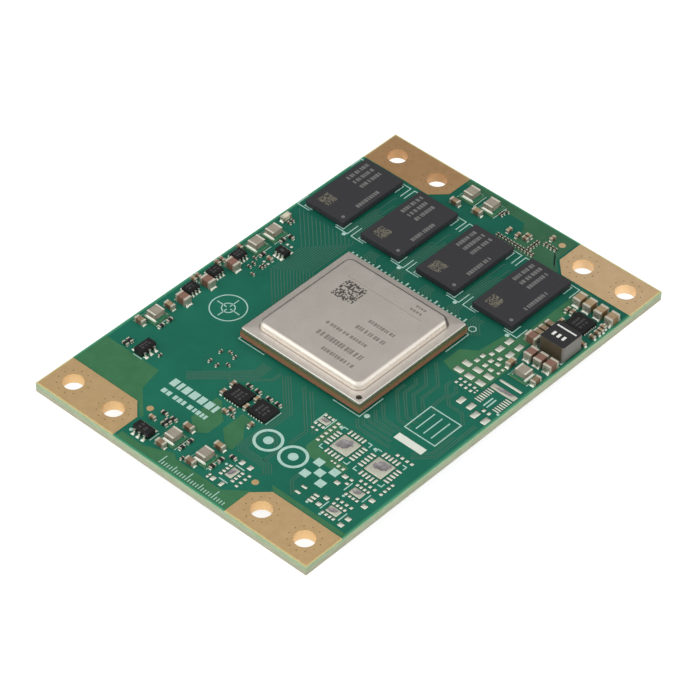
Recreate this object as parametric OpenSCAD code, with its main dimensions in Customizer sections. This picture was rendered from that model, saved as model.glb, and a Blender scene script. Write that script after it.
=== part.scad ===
// System on module: a circuit board with a lidded processor, four memory chips, power parts,
// bare pads, gold corner lands with mounting holes, and four plugs on its underside.
// Sizes are in millimetres. X runs along the long side, Y to the rear and Z up.
// Z = 0 is the mating face of the plugs, under the middle of the board.

/* [Board] */
// Length of the board along X
board_length = 76; // [69:0.5:84]
// Width of the board along Y
board_width = 52; // [47:0.5:60]
// Thickness of the laminate
board_thick = 1.6; // [1:0.1:2.4]
// Clear diameter of a mounting hole
mount_hole_d = 3.2; // [2.4:0.1:3.6]
// Distance of the outer mounting holes from both board edges
mount_hole_inset = 3.75; // [3.5:0.05:4]
// Free length of a side edge between its two corner lands
side_room = 21.5; // [21:0.1:23]
// Gap from a corner land to the board edge
land_margin = 0.25; // [0.1:0.05:0.5]
// Cut across the inner corner of a corner land
land_cut = 2.3; // [1:0.1:3]
// Thickness of the gold plated copper
plating_thick = 0.05; // [0.03:0.01:0.1]
// Diameter of an alignment mark
mark_d = 1.05; // [0.8:0.05:1.2]
// Height of the tin on a bare pad
pad_thick = 0.06; // [0.03:0.01:0.1]

/* [Processor] */
// Side of the square package
processor_size = 23; // [20:0.5:25]
// Thickness of the package substrate
substrate_thick = 1.2; // [0.8:0.1:1.5]
// Gap under the package, filled by its solder balls
processor_ball_h = 0.4; // [0.3:0.05:0.5]
// Diameter of a solder ball under the processor
processor_ball_d = 0.5; // [0.4:0.05:0.6]
// Step between solder balls, under both kinds of chip
ball_pitch = 0.8; // [0.75:0.05:0.9]
// Rows of balls in the ring round the package edge
ball_ring_rows = 2; // [1:1:3]
// Balls along a side of the middle block
ball_block = 8; // [4:1:12]
// Length of the die along X
die_length = 11; // [8:0.5:13]
// Width of the die along Y
die_width = 9; // [7:0.5:13]
// Thickness of the die
die_thick = 0.8; // [0.6:0.05:0.9]
// Thickness of the thermal paste on the die
paste_thick = 0.1; // [0.05:0.05:0.2]
// Thickness of the adhesive under the lid
adhesive_thick = 0.12; // [0.05:0.01:0.2]
// Width of the adhesive ring
adhesive_width = 1.5; // [0.8:0.1:2]
// Gap from the lid edge to the package edge
lid_margin = 0.08; // [0.05:0.01:0.3]
// Thickness of the lid flange
lid_flange_thick = 0.43; // [0.3:0.01:0.6]
// Width of the flange round the raised crown
lid_flange_width = 1.45; // [1.2:0.05:2]
// Height of the crown above the flange
lid_crown_h = 1.15; // [1:0.05:1.5]
// Plan radius of the crown corners
lid_corner_r = 1.8; // [1.2:0.1:2.5]
// Inward reach of the rounding along the crown's top edge
lid_edge_reach = 0.6; // [0.3:0.05:0.8]
// Drop of that rounding
lid_edge_drop = 0.95; // [0.5:0.05:0.95]
// Lean of the crown wall from its foot to the rounding
lid_wall_lean = 0.1; // [0.1:0.05:0.3]
// Diameter of the corner hole in the flange
lid_hole_d = 0.8; // [0.5:0.05:0.9]

/* [Memory] */
// Length of a memory chip along X
memory_length = 13.3; // [12:0.1:14]
// Width of a memory chip along Y
memory_width = 7.5; // [7:0.1:9.5]
// Thickness of a memory chip
memory_thick = 0.88; // [0.6:0.02:1.1]
// Gap under a memory chip, filled by its solder balls
memory_ball_h = 0.3; // [0.2:0.05:0.4]
// Diameter of a solder ball under a memory chip
memory_ball_d = 0.45; // [0.3:0.05:0.5]
// Distance of the front chip's middle from the front edge
memory_front = 13.94; // [13.7:0.02:14.5]
// Distance of the memory column from the right board edge
memory_inset = 15.1; // [14.5:0.1:16]
// Distance of the first memory chip from the rear board edge
memory_rear = 5.3; // [5:0.1:5.5]
// Columns of balls on each half of a memory chip
memory_ball_columns = 3; // [2:1:3]
// Rows of balls along a memory chip
memory_ball_rows = 14; // [10:1:14]
// Gap between the two halves of the ball pattern
memory_ball_gap = 2.4; // [1.6:0.1:2.6]

/* [Power modules] */
// Length of a module's carrier board
module_length = 3; // [2.6:0.1:3.2]
// Width of a module's carrier board
module_width = 2.8; // [2.4:0.1:3]
// Thickness of a module's carrier board
module_thick = 0.35; // [0.2:0.05:0.5]
// Length of the inductor on a module, over its ends
coil_length = 2; // [1.8:0.05:2.3]
// Width of the inductor on a module
coil_width = 1.65; // [1.4:0.05:2]
// Height of the inductor on a module
coil_h = 0.95; // [0.8:0.05:1.3]
// Length of each silver end of that inductor
coil_end = 0.3; // [0.15:0.05:0.4]
// Rise of the solder at each end of that inductor
coil_solder_rise = 0.15; // [0.1:0.05:0.5]
// Carrier left bare beyond the solder, along its length
carrier_bare_end = 0.2; // [0.04:0.01:0.3]
// Carrier left bare beside the solder, along its width
carrier_bare_side = 0.25; // [0.1:0.05:0.4]
// Side of the large power inductor
choke_size = 4.4; // [3.6:0.1:4.6]
// Height of the large power inductor
choke_h = 2.85; // [2:0.05:3.5]
// Cut at the upright corners of the large power inductor
choke_cut = 0.25; // [0.1:0.05:0.5]
// Thickness of its two terminals
choke_foot = 0.12; // [0.08:0.02:0.2]
// Length of a terminal, under and beyond the body
choke_foot_length = 1.2; // [0.8:0.1:1.4]
// Reach of a terminal beyond the body
choke_foot_reach = 0.2; // [0.1:0.05:0.3]

/* [Small parts] */
// Length of a large capacitor
large_length = 2; // [1.8:0.05:2.2]
// Width of a large capacitor
large_width = 1.3; // [1.1:0.05:1.4]
// Height of a large capacitor
large_h = 1.25; // [0.8:0.05:1.5]
// Length of each metal end of a large capacitor
large_end = 0.4; // [0.2:0.05:0.5]
// Length of a medium capacitor
medium_length = 1.6; // [1.4:0.05:1.7]
// Width of a medium capacitor
medium_width = 0.8; // [0.7:0.05:0.9]
// Height of a medium capacitor
medium_h = 0.8; // [0.5:0.05:1]
// Length of each metal end of a medium capacitor
medium_end = 0.32; // [0.2:0.02:0.4]
// Length of a small capacitor or resistor
small_length = 1; // [0.9:0.05:1.05]
// Width of a small capacitor or resistor
small_width = 0.5; // [0.4:0.02:0.54]
// Height of a small capacitor
small_h = 0.5; // [0.3:0.02:0.6]
// Height of a resistor
resistor_h = 0.35; // [0.25:0.01:0.45]
// Length of each metal end of a small capacitor or resistor
small_end = 0.22; // [0.15:0.01:0.3]
// Length of a tiny part
tiny_length = 0.6; // [0.5:0.02:0.66]
// Width of a tiny part
tiny_width = 0.3; // [0.24:0.02:0.34]
// Height of a tiny part
tiny_h = 0.3; // [0.2:0.02:0.36]
// Length of each metal end of a tiny part
tiny_end = 0.15; // [0.1:0.01:0.2]
// Reach of a solder joint, as a share of the part's height
solder_reach = 0.28; // [0.2:0.02:0.32]
// Rise of a solder joint, as a share of the part's height
solder_rise = 0.6; // [0.4:0.05:0.8]
// How far a metal end stands proud of the body
end_lip = 0.02; // [0.01:0.01:0.03]
// Step along the termination column
column_pitch = 0.61; // [0.58:0.01:0.64]
// Parts in the termination column
column_count = 12; // [6:1:12]

/* [Chips] */
// Length of a six-lead chip body
chip_length = 2.9; // [2.7:0.1:3.1]
// Width of a six-lead chip body
chip_width = 1.6; // [1.4:0.1:1.8]
// Height of a six-lead chip above the board
chip_h = 1.1; // [0.9:0.05:1.3]
// Step between its leads
chip_pitch = 0.95; // [0.85:0.05:1.05]
// Length of a switch chip body
switch_length = 2.1; // [1.9:0.1:2.3]
// Width of a switch chip body
switch_width = 1.7; // [1.5:0.1:1.9]
// Height of a switch chip or of the gate chip above the board
switch_h = 0.9; // [0.75:0.05:1.1]
// Step between the leads of a switch chip or of the gate chip
switch_pitch = 0.65; // [0.6:0.05:0.7]
// Length of the gate chip body
gate_length = 2; // [1.9:0.1:2.2]
// Width of the gate chip body
gate_width = 1.25; // [1.1:0.05:1.4]
// Gap under a moulded chip body
chip_lift = 0.1; // [0.05:0.01:0.15]
// Lean of a moulded side
mould_lean = 0.1; // [0.05:0.01:0.15]
// Reach of a lead beyond the body
lead_reach = 0.6; // [0.5:0.05:0.7]
// Length of a lead's flat foot
lead_foot = 0.35; // [0.3:0.01:0.4]
// Thickness of a lead
lead_thick = 0.14; // [0.1:0.01:0.18]
// Width of a lead
lead_width = 0.36; // [0.25:0.01:0.45]
// Reach of a switch chip's lead beyond the body
switch_lead_reach = 0.42; // [0.4:0.02:0.5]
// Length of the flat foot of a switch chip's lead
switch_lead_foot = 0.22; // [0.18:0.01:0.22]
// Width of a switch chip's lead
switch_lead_width = 0.28; // [0.2:0.01:0.36]
// Side of a clock chip along X
clock_length = 3.1; // [2.8:0.1:3.2]
// Side of a clock chip along Y
clock_width = 3.35; // [3:0.05:3.5]
// Length of the regulator along X
regulator_length = 3.3; // [3:0.1:3.6]
// Width of the regulator along Y
regulator_width = 3.4; // [3:0.1:3.5]
// Height of the flat leadless chips
flat_chip_h = 0.55; // [0.45:0.05:1]
// Step between the solder leads of a clock chip
clock_pitch = 0.5; // [0.45:0.01:0.52]
// Step between the solder leads of the regulator
regulator_pitch = 0.4; // [0.36:0.01:0.44]
// Solder leads along a side of a clock chip
clock_leads_count = 6; // [4:1:6]
// Solder leads along a side of the regulator
regulator_leads_count = 7; // [5:1:8]
// Width of a solder lead
solder_lead_width = 0.25; // [0.2:0.01:0.3]
// Reach of a solder lead beyond its chip
solder_lead_reach = 0.28; // [0.2:0.01:0.32]
// Height of a solder lead
solder_lead_h = 0.2; // [0.1:0.01:0.3]

/* [Plugs] */
// Length of a plug along Y
plug_length = 42; // [38:0.5:44]
// Width of a plug along X
plug_width = 5; // [4.4:0.1:5.4]
// Height of a plug below the board
plug_h = 3.2; // [2.6:0.1:5]
// Thickness of a plug's floor
plug_floor = 0.9; // [0.6:0.1:1.2]
// Thickness of a plug's walls
plug_wall = 0.7; // [0.5:0.05:0.9]
// Distance of an outer plug from the board's short edge
plug_inset = 11.5; // [11.3:0.1:12]
// Step from an outer plug to an inner one
plug_step = 9.5; // [8:0.1:10]
// Step between the contacts of a plug
contact_pitch = 0.8; // [0.7:0.05:1]
// Length left free of contacts at each end of a plug
contact_free = 1.2; // [0.8:0.1:2]
// Width of a contact
contact_width = 0.3; // [0.2:0.02:0.4]
// Thickness of a contact
contact_thick = 0.14; // [0.1:0.01:0.2]
// Reach of a contact's foot along the board
contact_foot = 0.6; // [0.4:0.05:0.7]
// Drop of a contact down the plug's side
contact_drop = 2.2; // [1.6:0.1:2.4]
// Columns of capacitors under the processor
under_columns = 6; // [4:1:6]
// Rows of capacitors under the processor
under_rows = 5; // [3:1:6]
// Step along X between those capacitors
under_step_x = 3; // [2.4:0.1:3.4]
// Step along Y between those capacitors
under_step_y = 2.6; // [2:0.1:3.2]

/* [Hidden] */
$fn = 48;
top_z = plug_h + board_thick;
right_edge = board_length / 2;
rear_edge = board_width / 2;
overcut = 1;
drill_d = mount_hole_d + 2 * plating_thick;
land_length = 2 * (mount_hole_inset - land_margin);
land_width = (board_width - side_room) / 2 - land_margin;
mount_hole_step = land_width - land_length;
substrate_z = top_z + processor_ball_h;
die_z = substrate_z + substrate_thick;
paste_z = die_z + die_thick;
lid_z = die_z + adhesive_thick;
lid_size = processor_size - 2 * lid_margin;
crown_size = lid_size - 2 * lid_flange_width;
lid_room = paste_z + paste_thick - lid_z;
lid_room_side = lid_size - 2 * adhesive_width - 2 * lid_flange_width;
lid_hole_inset = lid_flange_width * 0.65;
ball_side = floor((processor_size - 2 * processor_ball_d) / ball_pitch);
memory_column_x = right_edge - memory_inset;
memory_steps = 3;
memory_pitch = (board_width - memory_rear - memory_front) / memory_steps;
coil_solder_reach = (module_length - coil_length) / 2 - carrier_bare_end;
coil_solder_width = module_width - 2 * carrier_bare_side;
contact_count = floor((plug_length - 2 * contact_free) / contact_pitch);
plug_places = [
    -right_edge + plug_inset,
    -right_edge + plug_inset + plug_step,
    right_edge - plug_inset - plug_step,
    right_edge - plug_inset,
];

// Places are [x, y, turn], with parts along X when the turn is 0.
// A row's own number is its distance from the board edge that it belongs to. The rear row also
// counts X from a point near the memory, and the front row counts X from the right edge.
rear_share = 0.3;
rear_base = right_edge * rear_share;
function from_rear(places) = [for (p = places) [rear_base + p[0], rear_edge - p[1], p[2]]];
function from_front(places) = [for (p = places) [right_edge - p[0], p[1] - rear_edge, p[2]]];
function from_left(places) = [for (p = places) [p[0] - right_edge, p[1], p[2]]];
function from_right(places) = [for (p = places) [right_edge - p[0], p[1], p[2]]];

// Power modules
module_places = concat(
    from_rear([[-27.9, 2.5, 0], [-6.9, 2.5, 0], [-3.2, 2.5, 0]]),
    from_left([[5.3, 4, 0], [5.6, -1.8, 0]]),
    from_right([[3.1, 7.9, 0], [3.1, 4, 0]]),
    from_front([[27.45, 3.1, 90]])
);
// Large capacitors with brown bodies
brown_places = concat(
    from_rear([[-22.9, 3.2, 90], [-17.85, 3.2, 90], [-12.65, 3.2, 90]]),
    from_front([[21.1, 6.8, 90], [23.8, 4.8, 0], [23.8, 3, 0], [23.8, 1.2, 0]])
);
// Large capacitors with beige bodies
beige_places = from_front([[10.1, 7.1, 0], [10.1, 5.25, 0], [10.1, 3.2, 0], [10.1, 1.15, 0]]);
// Medium capacitors
medium_places = concat(
    from_rear([[-30.35, 1.8, 90], [-25.15, 2.6, 90]]),
    from_left([[3.2, 4.4, 90], [8.13, 3.8, 90], [3.5, -1.05, 90], [8.4, -1.9, 90]]),
    from_right([[6, 8.7, 90], [5.45, 4.8, 90]]),
    from_front([[19.5, 6.95, 90], [18.35, 6.95, 90], [17, 6.95, 90], [27.4, 0.9, 0], [27, 5.85, 0]])
);
// Indicator light
light_places = from_rear([[0.6, 1.4, 0]]);
// Small capacitors
small_places = concat(
    from_rear([[-18.5, 1, 90], [-17.6, 1, 90], [-13.55, 1, 90], [-12.6, 1, 90]]),
    from_rear([[-8.8, 1, 90], [-7.7, 6, 90]]),
    from_left([[6.2, 9, 90]]),
    [[-21.3, 5.4, 0], [-19.2, 5.5, 0], [-21.3, 0.95, 0], [-19.1, 0.95, 0]],
    [[-23.1, 2, 90], [-23.95, 2.45, 90], [-23.5, -2, 0]],
    from_right([[5.2, -1.2, 0], [5.2, -2.9, 0], [5, -4.2, 90], [4.2, -4.2, 90], [2.2, -7.1, 0]]),
    from_front([[12.7, 7.3, 0], [12.6, 6.4, 0], [15.2, 6.4, 0]]),
    from_front([[16.8, 1, 90], [14.7, 1, 90], [13.6, 1, 90], [12.8, 1, 90], [12, 1.2, 90]])
);
// Resistors
resistor_places = concat(
    from_rear([[-35, 3.5, 90], [-34.15, 3.5, 90], [-2, 4.9, 90]]),
    from_rear([[-28.9, 4.6, 0], [-27.2, 4.6, 0], [-7.7, 4.5, 0], [-3.4, 4.5, 0]]),
    from_left([[8, 8.4, 90], [6.4, 6.9, 90], [7.2, 6.9, 90], [8, 6.6, 90], [8.2, -4.65, 90]]),
    from_left([[4.8, 1.9, 0], [6.4, 1.9, 0], [5, -3.75, 0], [6.7, -3.75, 0]]),
    [for (y = [3.58, 1.9, -0.27, -1.95]) [-17.87, y, 90]]
);
// Tiny parts
tiny_places = concat(
    from_rear([[-33.4, 8.8, 0], [-10.9, 4.9, 90], [-10, 4.9, 90], [-9, 4.2, 90], [-11.8, 6.4, 90]]),
    from_rear([[-9.9, 6.3, 90], [-9.3, 6.3, 90], [0.2, 2.5, 90], [0.9, 2.5, 90]]),
    from_left([[3.3, 0.4, 0]]),
    [[-23.95, 1.1, 90]],
    [[-17.9, 11.3, 0], [-15.5, 11.5, 0], [-14.7, 10.3, 90], [-17.9, 9.9, 0], [-16.8, 8.8, 90], [-15, 9.2, 0]],
    from_right([for (i = [0:column_count - 1]) [7, -0.5 - i * column_pitch, 0]]),
    from_right([for (i = [0:3]) [6.2 - i * 0.66, -6, 90]]),
    from_right([for (i = [0:3]) [3.8, -7 - i * 0.66, 0]]),
    from_right([[3.4, 2, 90], [2.8, 2, 90], [2.2, 1.7, 90]])
);
// Large power inductor, flat leadless chips and leaded chips
choke_places = from_front([[19.7, 2.8, 0]]);
regulator_places = from_front([[13.75, 4.05, 90]]);
clock_places = [[-20.28, 3.2, 0], [-20.28, -1.4, 0]];
chip_places = concat(from_rear([[-34, 6.4, 0]]), from_left([[3.45, 7.9, 90]]));
gate_places = from_rear([[-5.4, 6.45, 90]]);
switch_places = from_rear([for (i = [0:2]) [-20.45 + i * 4.98, 2.25, 0]]);
// Alignment marks, by the three corners that have one
mark_places = [
    [-right_edge + 7.4, side_room / 2 - 0.1, 0],
    [-right_edge + 6.95, 0.72 - side_room / 2, 0],
    [right_edge - 2.2, 1.78 - side_room / 2, 0],
];

// Pads are [x, y, length, width]. A line of them starts at x, y and goes on by the step.
function pad_line(x, y, step_x, step_y, count, size) =
    [for (i = [0:count - 1]) [x + i * step_x, y + i * step_y, size[0], size[1]]];
function pad_pair(x, y, step_x, size) = pad_line(x, y, step_x, 0, 2, size);
// Footprint with a middle pad and a column of pads on each side
function side_footprint(x, y, reach, count, step, middle) = concat(
    [[x, y, middle[0], middle[1]]],
    pad_line(x - reach, y - (count - 1) * step / 2, 0, step, count, [0.5, 0.42]),
    pad_line(x + reach, y - (count - 1) * step / 2, 0, step, count, [0.5, 0.42])
);
// Square footprint with a middle pad and a row of pads on all four sides
function square_footprint(x, y, reach, count, step, middle) = concat(
    [[x, y, middle, middle]],
    pad_line(x - reach, y - (count - 1) * step / 2, 0, step, count, [0.95, 0.36]),
    pad_line(x + reach, y - (count - 1) * step / 2, 0, step, count, [0.95, 0.36]),
    pad_line(x - (count - 1) * step / 2, y - reach, step, 0, count, [0.36, 0.95]),
    pad_line(x - (count - 1) * step / 2, y + reach, step, 0, count, [0.36, 0.95])
);
// Pads of the front left group, by their distance from the left and front edges
front_left_pads = concat(
    side_footprint(10.28, 4.45, 1.15, 4, 0.66, [1.3, 2.05]),
    side_footprint(15.05, 4.45, 1.15, 4, 0.66, [1.3, 2.05]),
    pad_line(12.36, 3.1, 0, 0.85, 4, [0.5, 0.45]),
    pad_line(17.14, 3.1, 0, 0.85, 4, [0.5, 0.45]),
    pad_pair(9.9, 6.86, 1.56, [0.7, 0.8]),
    pad_pair(9.03, 2, 1.5, [0.75, 0.85]),
    pad_line(9.6, 8.2, 0.66, 0, 3, [0.4, 0.9]),
    pad_pair(9.6, 10.5, 1.33, [0.4, 0.95]),
    pad_pair(14.64, 7.8, 1.62, [0.7, 0.85]),
    pad_pair(15.43, 6.7, 0.93, [0.45, 0.55]),
    pad_pair(13.8, 2, 1.56, [0.75, 0.85]),
    pad_line(17.07, 1.9, 0.8, 0, 4, [0.45, 0.5]),
    pad_line(17.25, 10.6, 0, 0.57, 2, [0.32, 0.35]),
    pad_line(17.14, 8.97, 0, 0.89, 2, [0.55, 0.45]),
    square_footprint(20.76, 11.83, 2.38, 5, 0.65, 3.2),
    square_footprint(20.76, 5.46, 2.38, 5, 0.65, 3.2),
    pad_line(24.33, 2.71, 0, 0.873, 4, [0.5, 0.5])
);
// Pads beside the processor, by their distance from the front edge
beside_pads = concat(
    pad_line(-18.97, 15.46, 0.854, 0, 6, [0.45, 0.55]),
    side_footprint(-15.65, 17.25, 1.05, 3, 0.68, [1.1, 1.7]),
    pad_line(-17.67, 16.85, 0, 0.8, 2, [0.4, 0.42])
);
// Pads of the front middle group, by their distance from the right and front edges
front_middle_pads = concat(
    pad_line(32.8, 6.53, 0, 2.01, 3, [1, 1.45]),
    pad_line(31, 6.53, 0, 2.01, 3, [1, 1.45]),
    pad_line(34.96, 6.5, 0, 0.887, 4, [0.5, 0.45]),
    pad_line(34.07, 6.5, 0, 0.887, 4, [0.5, 0.45]),
    pad_pair(34.83, 5.84, -0.53, [0.3, 0.3]),
    pad_pair(29.55, 9.96, -1.25, [0.8, 0.7]),
    pad_pair(29.55, 8.43, -1.25, [0.8, 0.7]),
    pad_pair(29.73, 7.23, -1.56, [0.65, 0.85]),
    pad_pair(29.53, 5.98, -0.93, [0.5, 0.5]),
    pad_line(27.1, 7.76, 0, 1.54, 2, [0.75, 0.7]),
    pad_pair(25.5, 9.15, -2.07, [1.4, 0.95]),
    pad_pair(25.5, 7.27, -2.03, [1.4, 0.95]),
    pad_line(37.3, 4.36, 0, 1.84, 2, [1.45, 0.95]),
    pad_line(38.2, 0.95, 0, 1.88, 2, [1.45, 0.95]),
    pad_line(36.73, 1.56, 0, 0.94, 2, [0.6, 0.5]),
    pad_line(35.67, 4.53, -0.457, 0, 7, [0.22, 1.2]),
    pad_line(35.67, 1.23, -0.457, 0, 7, [0.22, 1.2]),
    [[31.98, 2.87, 1.03, 4.5], [30.38, 2.95, 0.45, 4.1]]
);
// Pads of the left group, by their distance from the left edge
left_pads = concat(
    pad_pair(3.27, -4.46, 0.54, [0.38, 0.38]),
    [[3.54, -5.29, 0.85, 0.7], [3.54, -6.86, 0.9, 0.6], [6.14, -6.49, 2, 1.2]],
    pad_line(5, -5.36, 0.66, 0, 4, [0.4, 0.55]),
    pad_line(5, -7.59, 0.66, 0, 4, [0.4, 0.55]),
    pad_line(4.67, -8.65, 0.857, 0, 4, [0.4, 0.5]),
    pad_line(8.5, -7.65, 0, 1.56, 2, [0.9, 0.75])
);
// Pads of the rear group, by their distance from the rear edge
rear_pads = concat(
    pad_line(-8.5, 5.6, 0, 0.8, 2, [0.4, 0.4]),
    pad_line(-3.4, 5.5, 0, 0.8, 2, [0.45, 0.4])
);
bare_pad_places = concat(
    [for (p = front_left_pads) [p[0] - right_edge, p[1] - rear_edge, p[2], p[3]]],
    [for (p = beside_pads) [p[0], p[1] - rear_edge, p[2], p[3]]],
    [for (p = front_middle_pads) [right_edge - p[0], p[1] - rear_edge, p[2], p[3]]],
    [for (p = left_pads) [p[0] - right_edge, p[1], p[2], p[3]]],
    [for (p = rear_pads) [rear_base + p[0], rear_edge - p[1], p[2], p[3]]]
);

// Small part sizes are [length, width, height, metal end].
large_part = [large_length, large_width, large_h, large_end];
medium_part = [medium_length, medium_width, medium_h, medium_end];
small_part = [small_length, small_width, small_h, small_end];
resistor_part = [small_length, small_width, resistor_h, small_end];
tiny_part = [tiny_length, tiny_width, tiny_h, tiny_end];

// Leads are [reach, flat foot, width].
chip_lead = [lead_reach, lead_foot, lead_width];
switch_lead = [switch_lead_reach, switch_lead_foot, switch_lead_width];

module place_on_board(places) {
    for (p = places)
        translate([p[0], p[1], top_z])
            rotate(p[2])
                children();
}

module centred_box(size, z) {
    translate([-size[0] / 2, -size[1] / 2, z])
        cube(size);
}

module mount_holes(d, z, h) {
    for (sx = [-1, 1])
        for (sy = [-1, 1])
            for (step = [0, mount_hole_step])
                translate([
                    sx * (right_edge - mount_hole_inset),
                    sy * (rear_edge - mount_hole_inset - step),
                    z,
                ])
                    cylinder(d = d, h = h);
}

module circuit_board() {
    color("green")
        difference() {
            centred_box([board_length, board_width, board_thick], plug_h);
            mount_holes(drill_d, plug_h - overcut, board_thick + 2 * overcut);
        }
}

module land_outline() {
    translate([-right_edge + land_margin, -rear_edge + land_margin])
        polygon([
            [0, 0],
            [land_length, 0],
            [land_length, land_width - land_cut],
            [land_length - land_cut, land_width],
            [0, land_width],
        ]);
}

// Plating of the front left corner: upper land, lower land and the walls of both holes
module corner_plating() {
    color("gold")
        difference() {
            union() {
                translate([0, 0, top_z])
                    linear_extrude(plating_thick)
                        land_outline();
                translate([0, 0, plug_h - plating_thick])
                    linear_extrude(plating_thick)
                        land_outline();
                for (step = [0, mount_hole_step])
                    translate([
                        mount_hole_inset - right_edge,
                        mount_hole_inset + step - rear_edge,
                        plug_h - plating_thick,
                    ])
                        cylinder(d = drill_d, h = board_thick + 2 * plating_thick);
            }
            mount_holes(mount_hole_d, plug_h - overcut, board_thick + 2 * overcut);
        }
}

module rear_left_land() {
    mirror([0, 1, 0])
        corner_plating();
}

module rear_right_land() {
    rotate(180)
        corner_plating();
}

module front_left_land() {
    corner_plating();
}

module front_right_land() {
    mirror([1, 0, 0])
        corner_plating();
}

module bare_pads() {
    color("silver")
        for (p = bare_pad_places)
            translate([p[0], p[1], 0])
                centred_box([p[2], p[3], pad_thick], top_z);
}

module alignment_marks() {
    color("peru")
        place_on_board(mark_places)
            cylinder(d = mark_d, h = plating_thick);
}

module processor_substrate() {
    color("saddlebrown")
        centred_box([processor_size, processor_size, substrate_thick], substrate_z);
}

// A ring of balls round the edge and a block of them in the middle
module processor_balls() {
    first = -(ball_side - 1) * ball_pitch / 2;
    block_from = floor((ball_side - ball_block) / 2);
    block_to = block_from + ball_block - 1;
    color("silver")
        for (i = [0:ball_side - 1])
            for (j = [0:ball_side - 1])
                if (
                    min(i, j, ball_side - 1 - i, ball_side - 1 - j) < ball_ring_rows
                    || (min(i, j) >= block_from && max(i, j) <= block_to)
                )
                    translate([first + i * ball_pitch, first + j * ball_pitch, top_z])
                        cylinder(d = processor_ball_d, h = processor_ball_h);
}

module processor_die() {
    color("dimgray")
        centred_box([die_length, die_width, die_thick], die_z);
}

module thermal_paste() {
    color("gainsboro")
        centred_box([die_length, die_width, paste_thick], paste_z);
}

module lid_adhesive() {
    color("black")
        difference() {
            centred_box([lid_size, lid_size, adhesive_thick], die_z);
            centred_box(
                [
                    lid_size - 2 * adhesive_width,
                    lid_size - 2 * adhesive_width,
                    adhesive_thick + 2 * overcut,
                ],
                die_z - overcut
            );
        }
}

// Outline of a crown corner, turned about its own upright axis
module crown_corner() {
    rotate_extrude()
        polygon(concat(
            [[0, 0], [lid_corner_r, 0]],
            [for (a = [0:15:90]) [
                lid_corner_r - lid_wall_lean - lid_edge_reach * (1 - cos(a)),
                lid_crown_h - lid_edge_drop * (1 - sin(a)),
            ]],
            [[0, lid_crown_h]]
        ));
}

module processor_lid() {
    corner = crown_size / 2 - lid_corner_r;
    hole = lid_size / 2 - lid_hole_inset;
    color("lightgray")
        difference() {
            union() {
                centred_box([lid_size, lid_size, lid_flange_thick], lid_z);
                translate([0, 0, lid_z + lid_flange_thick])
                    hull()
                        for (x = [-corner, corner])
                            for (y = [-corner, corner])
                                translate([x, y, 0])
                                    crown_corner();
            }
            centred_box([lid_room_side, lid_room_side, lid_room + overcut], lid_z - overcut);
            translate([-hole, -hole, lid_z - overcut])
                cylinder(d = lid_hole_d, h = lid_flange_thick + 2 * overcut);
        }
}

module memory_chip(index) {
    color("dimgray")
        translate([memory_column_x, rear_edge - memory_rear - index * memory_pitch, 0])
            centred_box([memory_length, memory_width, memory_thick], top_z + memory_ball_h);
}

module memory_balls() {
    half = memory_ball_gap / 2;
    color("silver")
        for (index = [0:3])
            for (side = [-1, 1])
                for (column = [0:memory_ball_columns - 1])
                    for (row = [0:memory_ball_rows - 1])
                        translate([
                            memory_column_x + (row - (memory_ball_rows - 1) / 2) * ball_pitch,
                            rear_edge - memory_rear - index * memory_pitch
                                + side * (half + column * ball_pitch),
                            top_z,
                        ])
                            cylinder(d = memory_ball_d, h = memory_ball_h);
}

module module_boards() {
    color("darkgreen")
        place_on_board(module_places)
            centred_box([module_length, module_width, module_thick], 0);
}

module module_coils() {
    color("darkgray")
        place_on_board(module_places)
            centred_box([coil_length - 2 * coil_end, coil_width, coil_h], module_thick);
}

module module_coil_ends() {
    color("silver")
        place_on_board(module_places)
            for (side = [0, 180])
                rotate(side)
                    translate([coil_length / 2 - coil_end, -coil_width / 2 - end_lip, module_thick])
                        cube([coil_end, coil_width + 2 * end_lip, coil_h + end_lip]);
}

// Wide wedge of solder on the carrier at each end of its inductor
module coil_joints() {
    for (side = [0, 180])
        rotate(side)
            translate([coil_length / 2, coil_solder_width / 2, module_thick])
                rotate([90, 0, 0])
                    linear_extrude(coil_solder_width)
                        polygon([[0, 0], [coil_solder_reach, 0], [0, coil_solder_rise]]);
}

// Middle of a small part, held just off the board by its proud ends
module part_body(part) {
    centred_box([part[0] - 2 * part[3], part[1], part[2]], end_lip);
}

module part_ends(part) {
    for (side = [0, 180])
        rotate(side)
            translate([part[0] / 2 - part[3], -part[1] / 2 - end_lip, 0])
                cube([part[3], part[1] + 2 * end_lip, part[2] + 2 * end_lip]);
}

// Wedge of solder from the board up to each end
module part_joints(part) {
    for (side = [0, 180])
        rotate(side)
            translate([part[0] / 2, part[1] / 2, 0])
                rotate([90, 0, 0])
                    linear_extrude(part[1])
                        polygon([[0, 0], [part[2] * solder_reach, 0], [0, part[2] * solder_rise]]);
}

module brown_capacitors() {
    color("sienna")
        place_on_board(brown_places)
            part_body(large_part);
}

module beige_capacitors() {
    color("tan")
        place_on_board(beige_places)
            part_body(large_part);
}

module large_capacitor_ends() {
    color("silver")
        place_on_board(concat(brown_places, beige_places))
            part_ends(large_part);
}

module medium_capacitors() {
    color("tan")
        place_on_board(medium_places)
            part_body(medium_part);
}

module medium_capacitor_ends() {
    color("silver")
        place_on_board(medium_places)
            part_ends(medium_part);
}

module small_capacitors() {
    color("tan")
        place_on_board(small_places)
            part_body(small_part);
}

module small_capacitor_ends() {
    color("silver")
        place_on_board(small_places)
            part_ends(small_part);
}

module resistors() {
    color("black")
        place_on_board(resistor_places)
            part_body(resistor_part);
}

module resistor_ends() {
    color("silver")
        place_on_board(resistor_places)
            part_ends(resistor_part);
}

module tiny_parts() {
    color("black")
        place_on_board(tiny_places)
            part_body(tiny_part);
}

module tiny_part_ends() {
    color("silver")
        place_on_board(tiny_places)
            part_ends(tiny_part);
}

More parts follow.
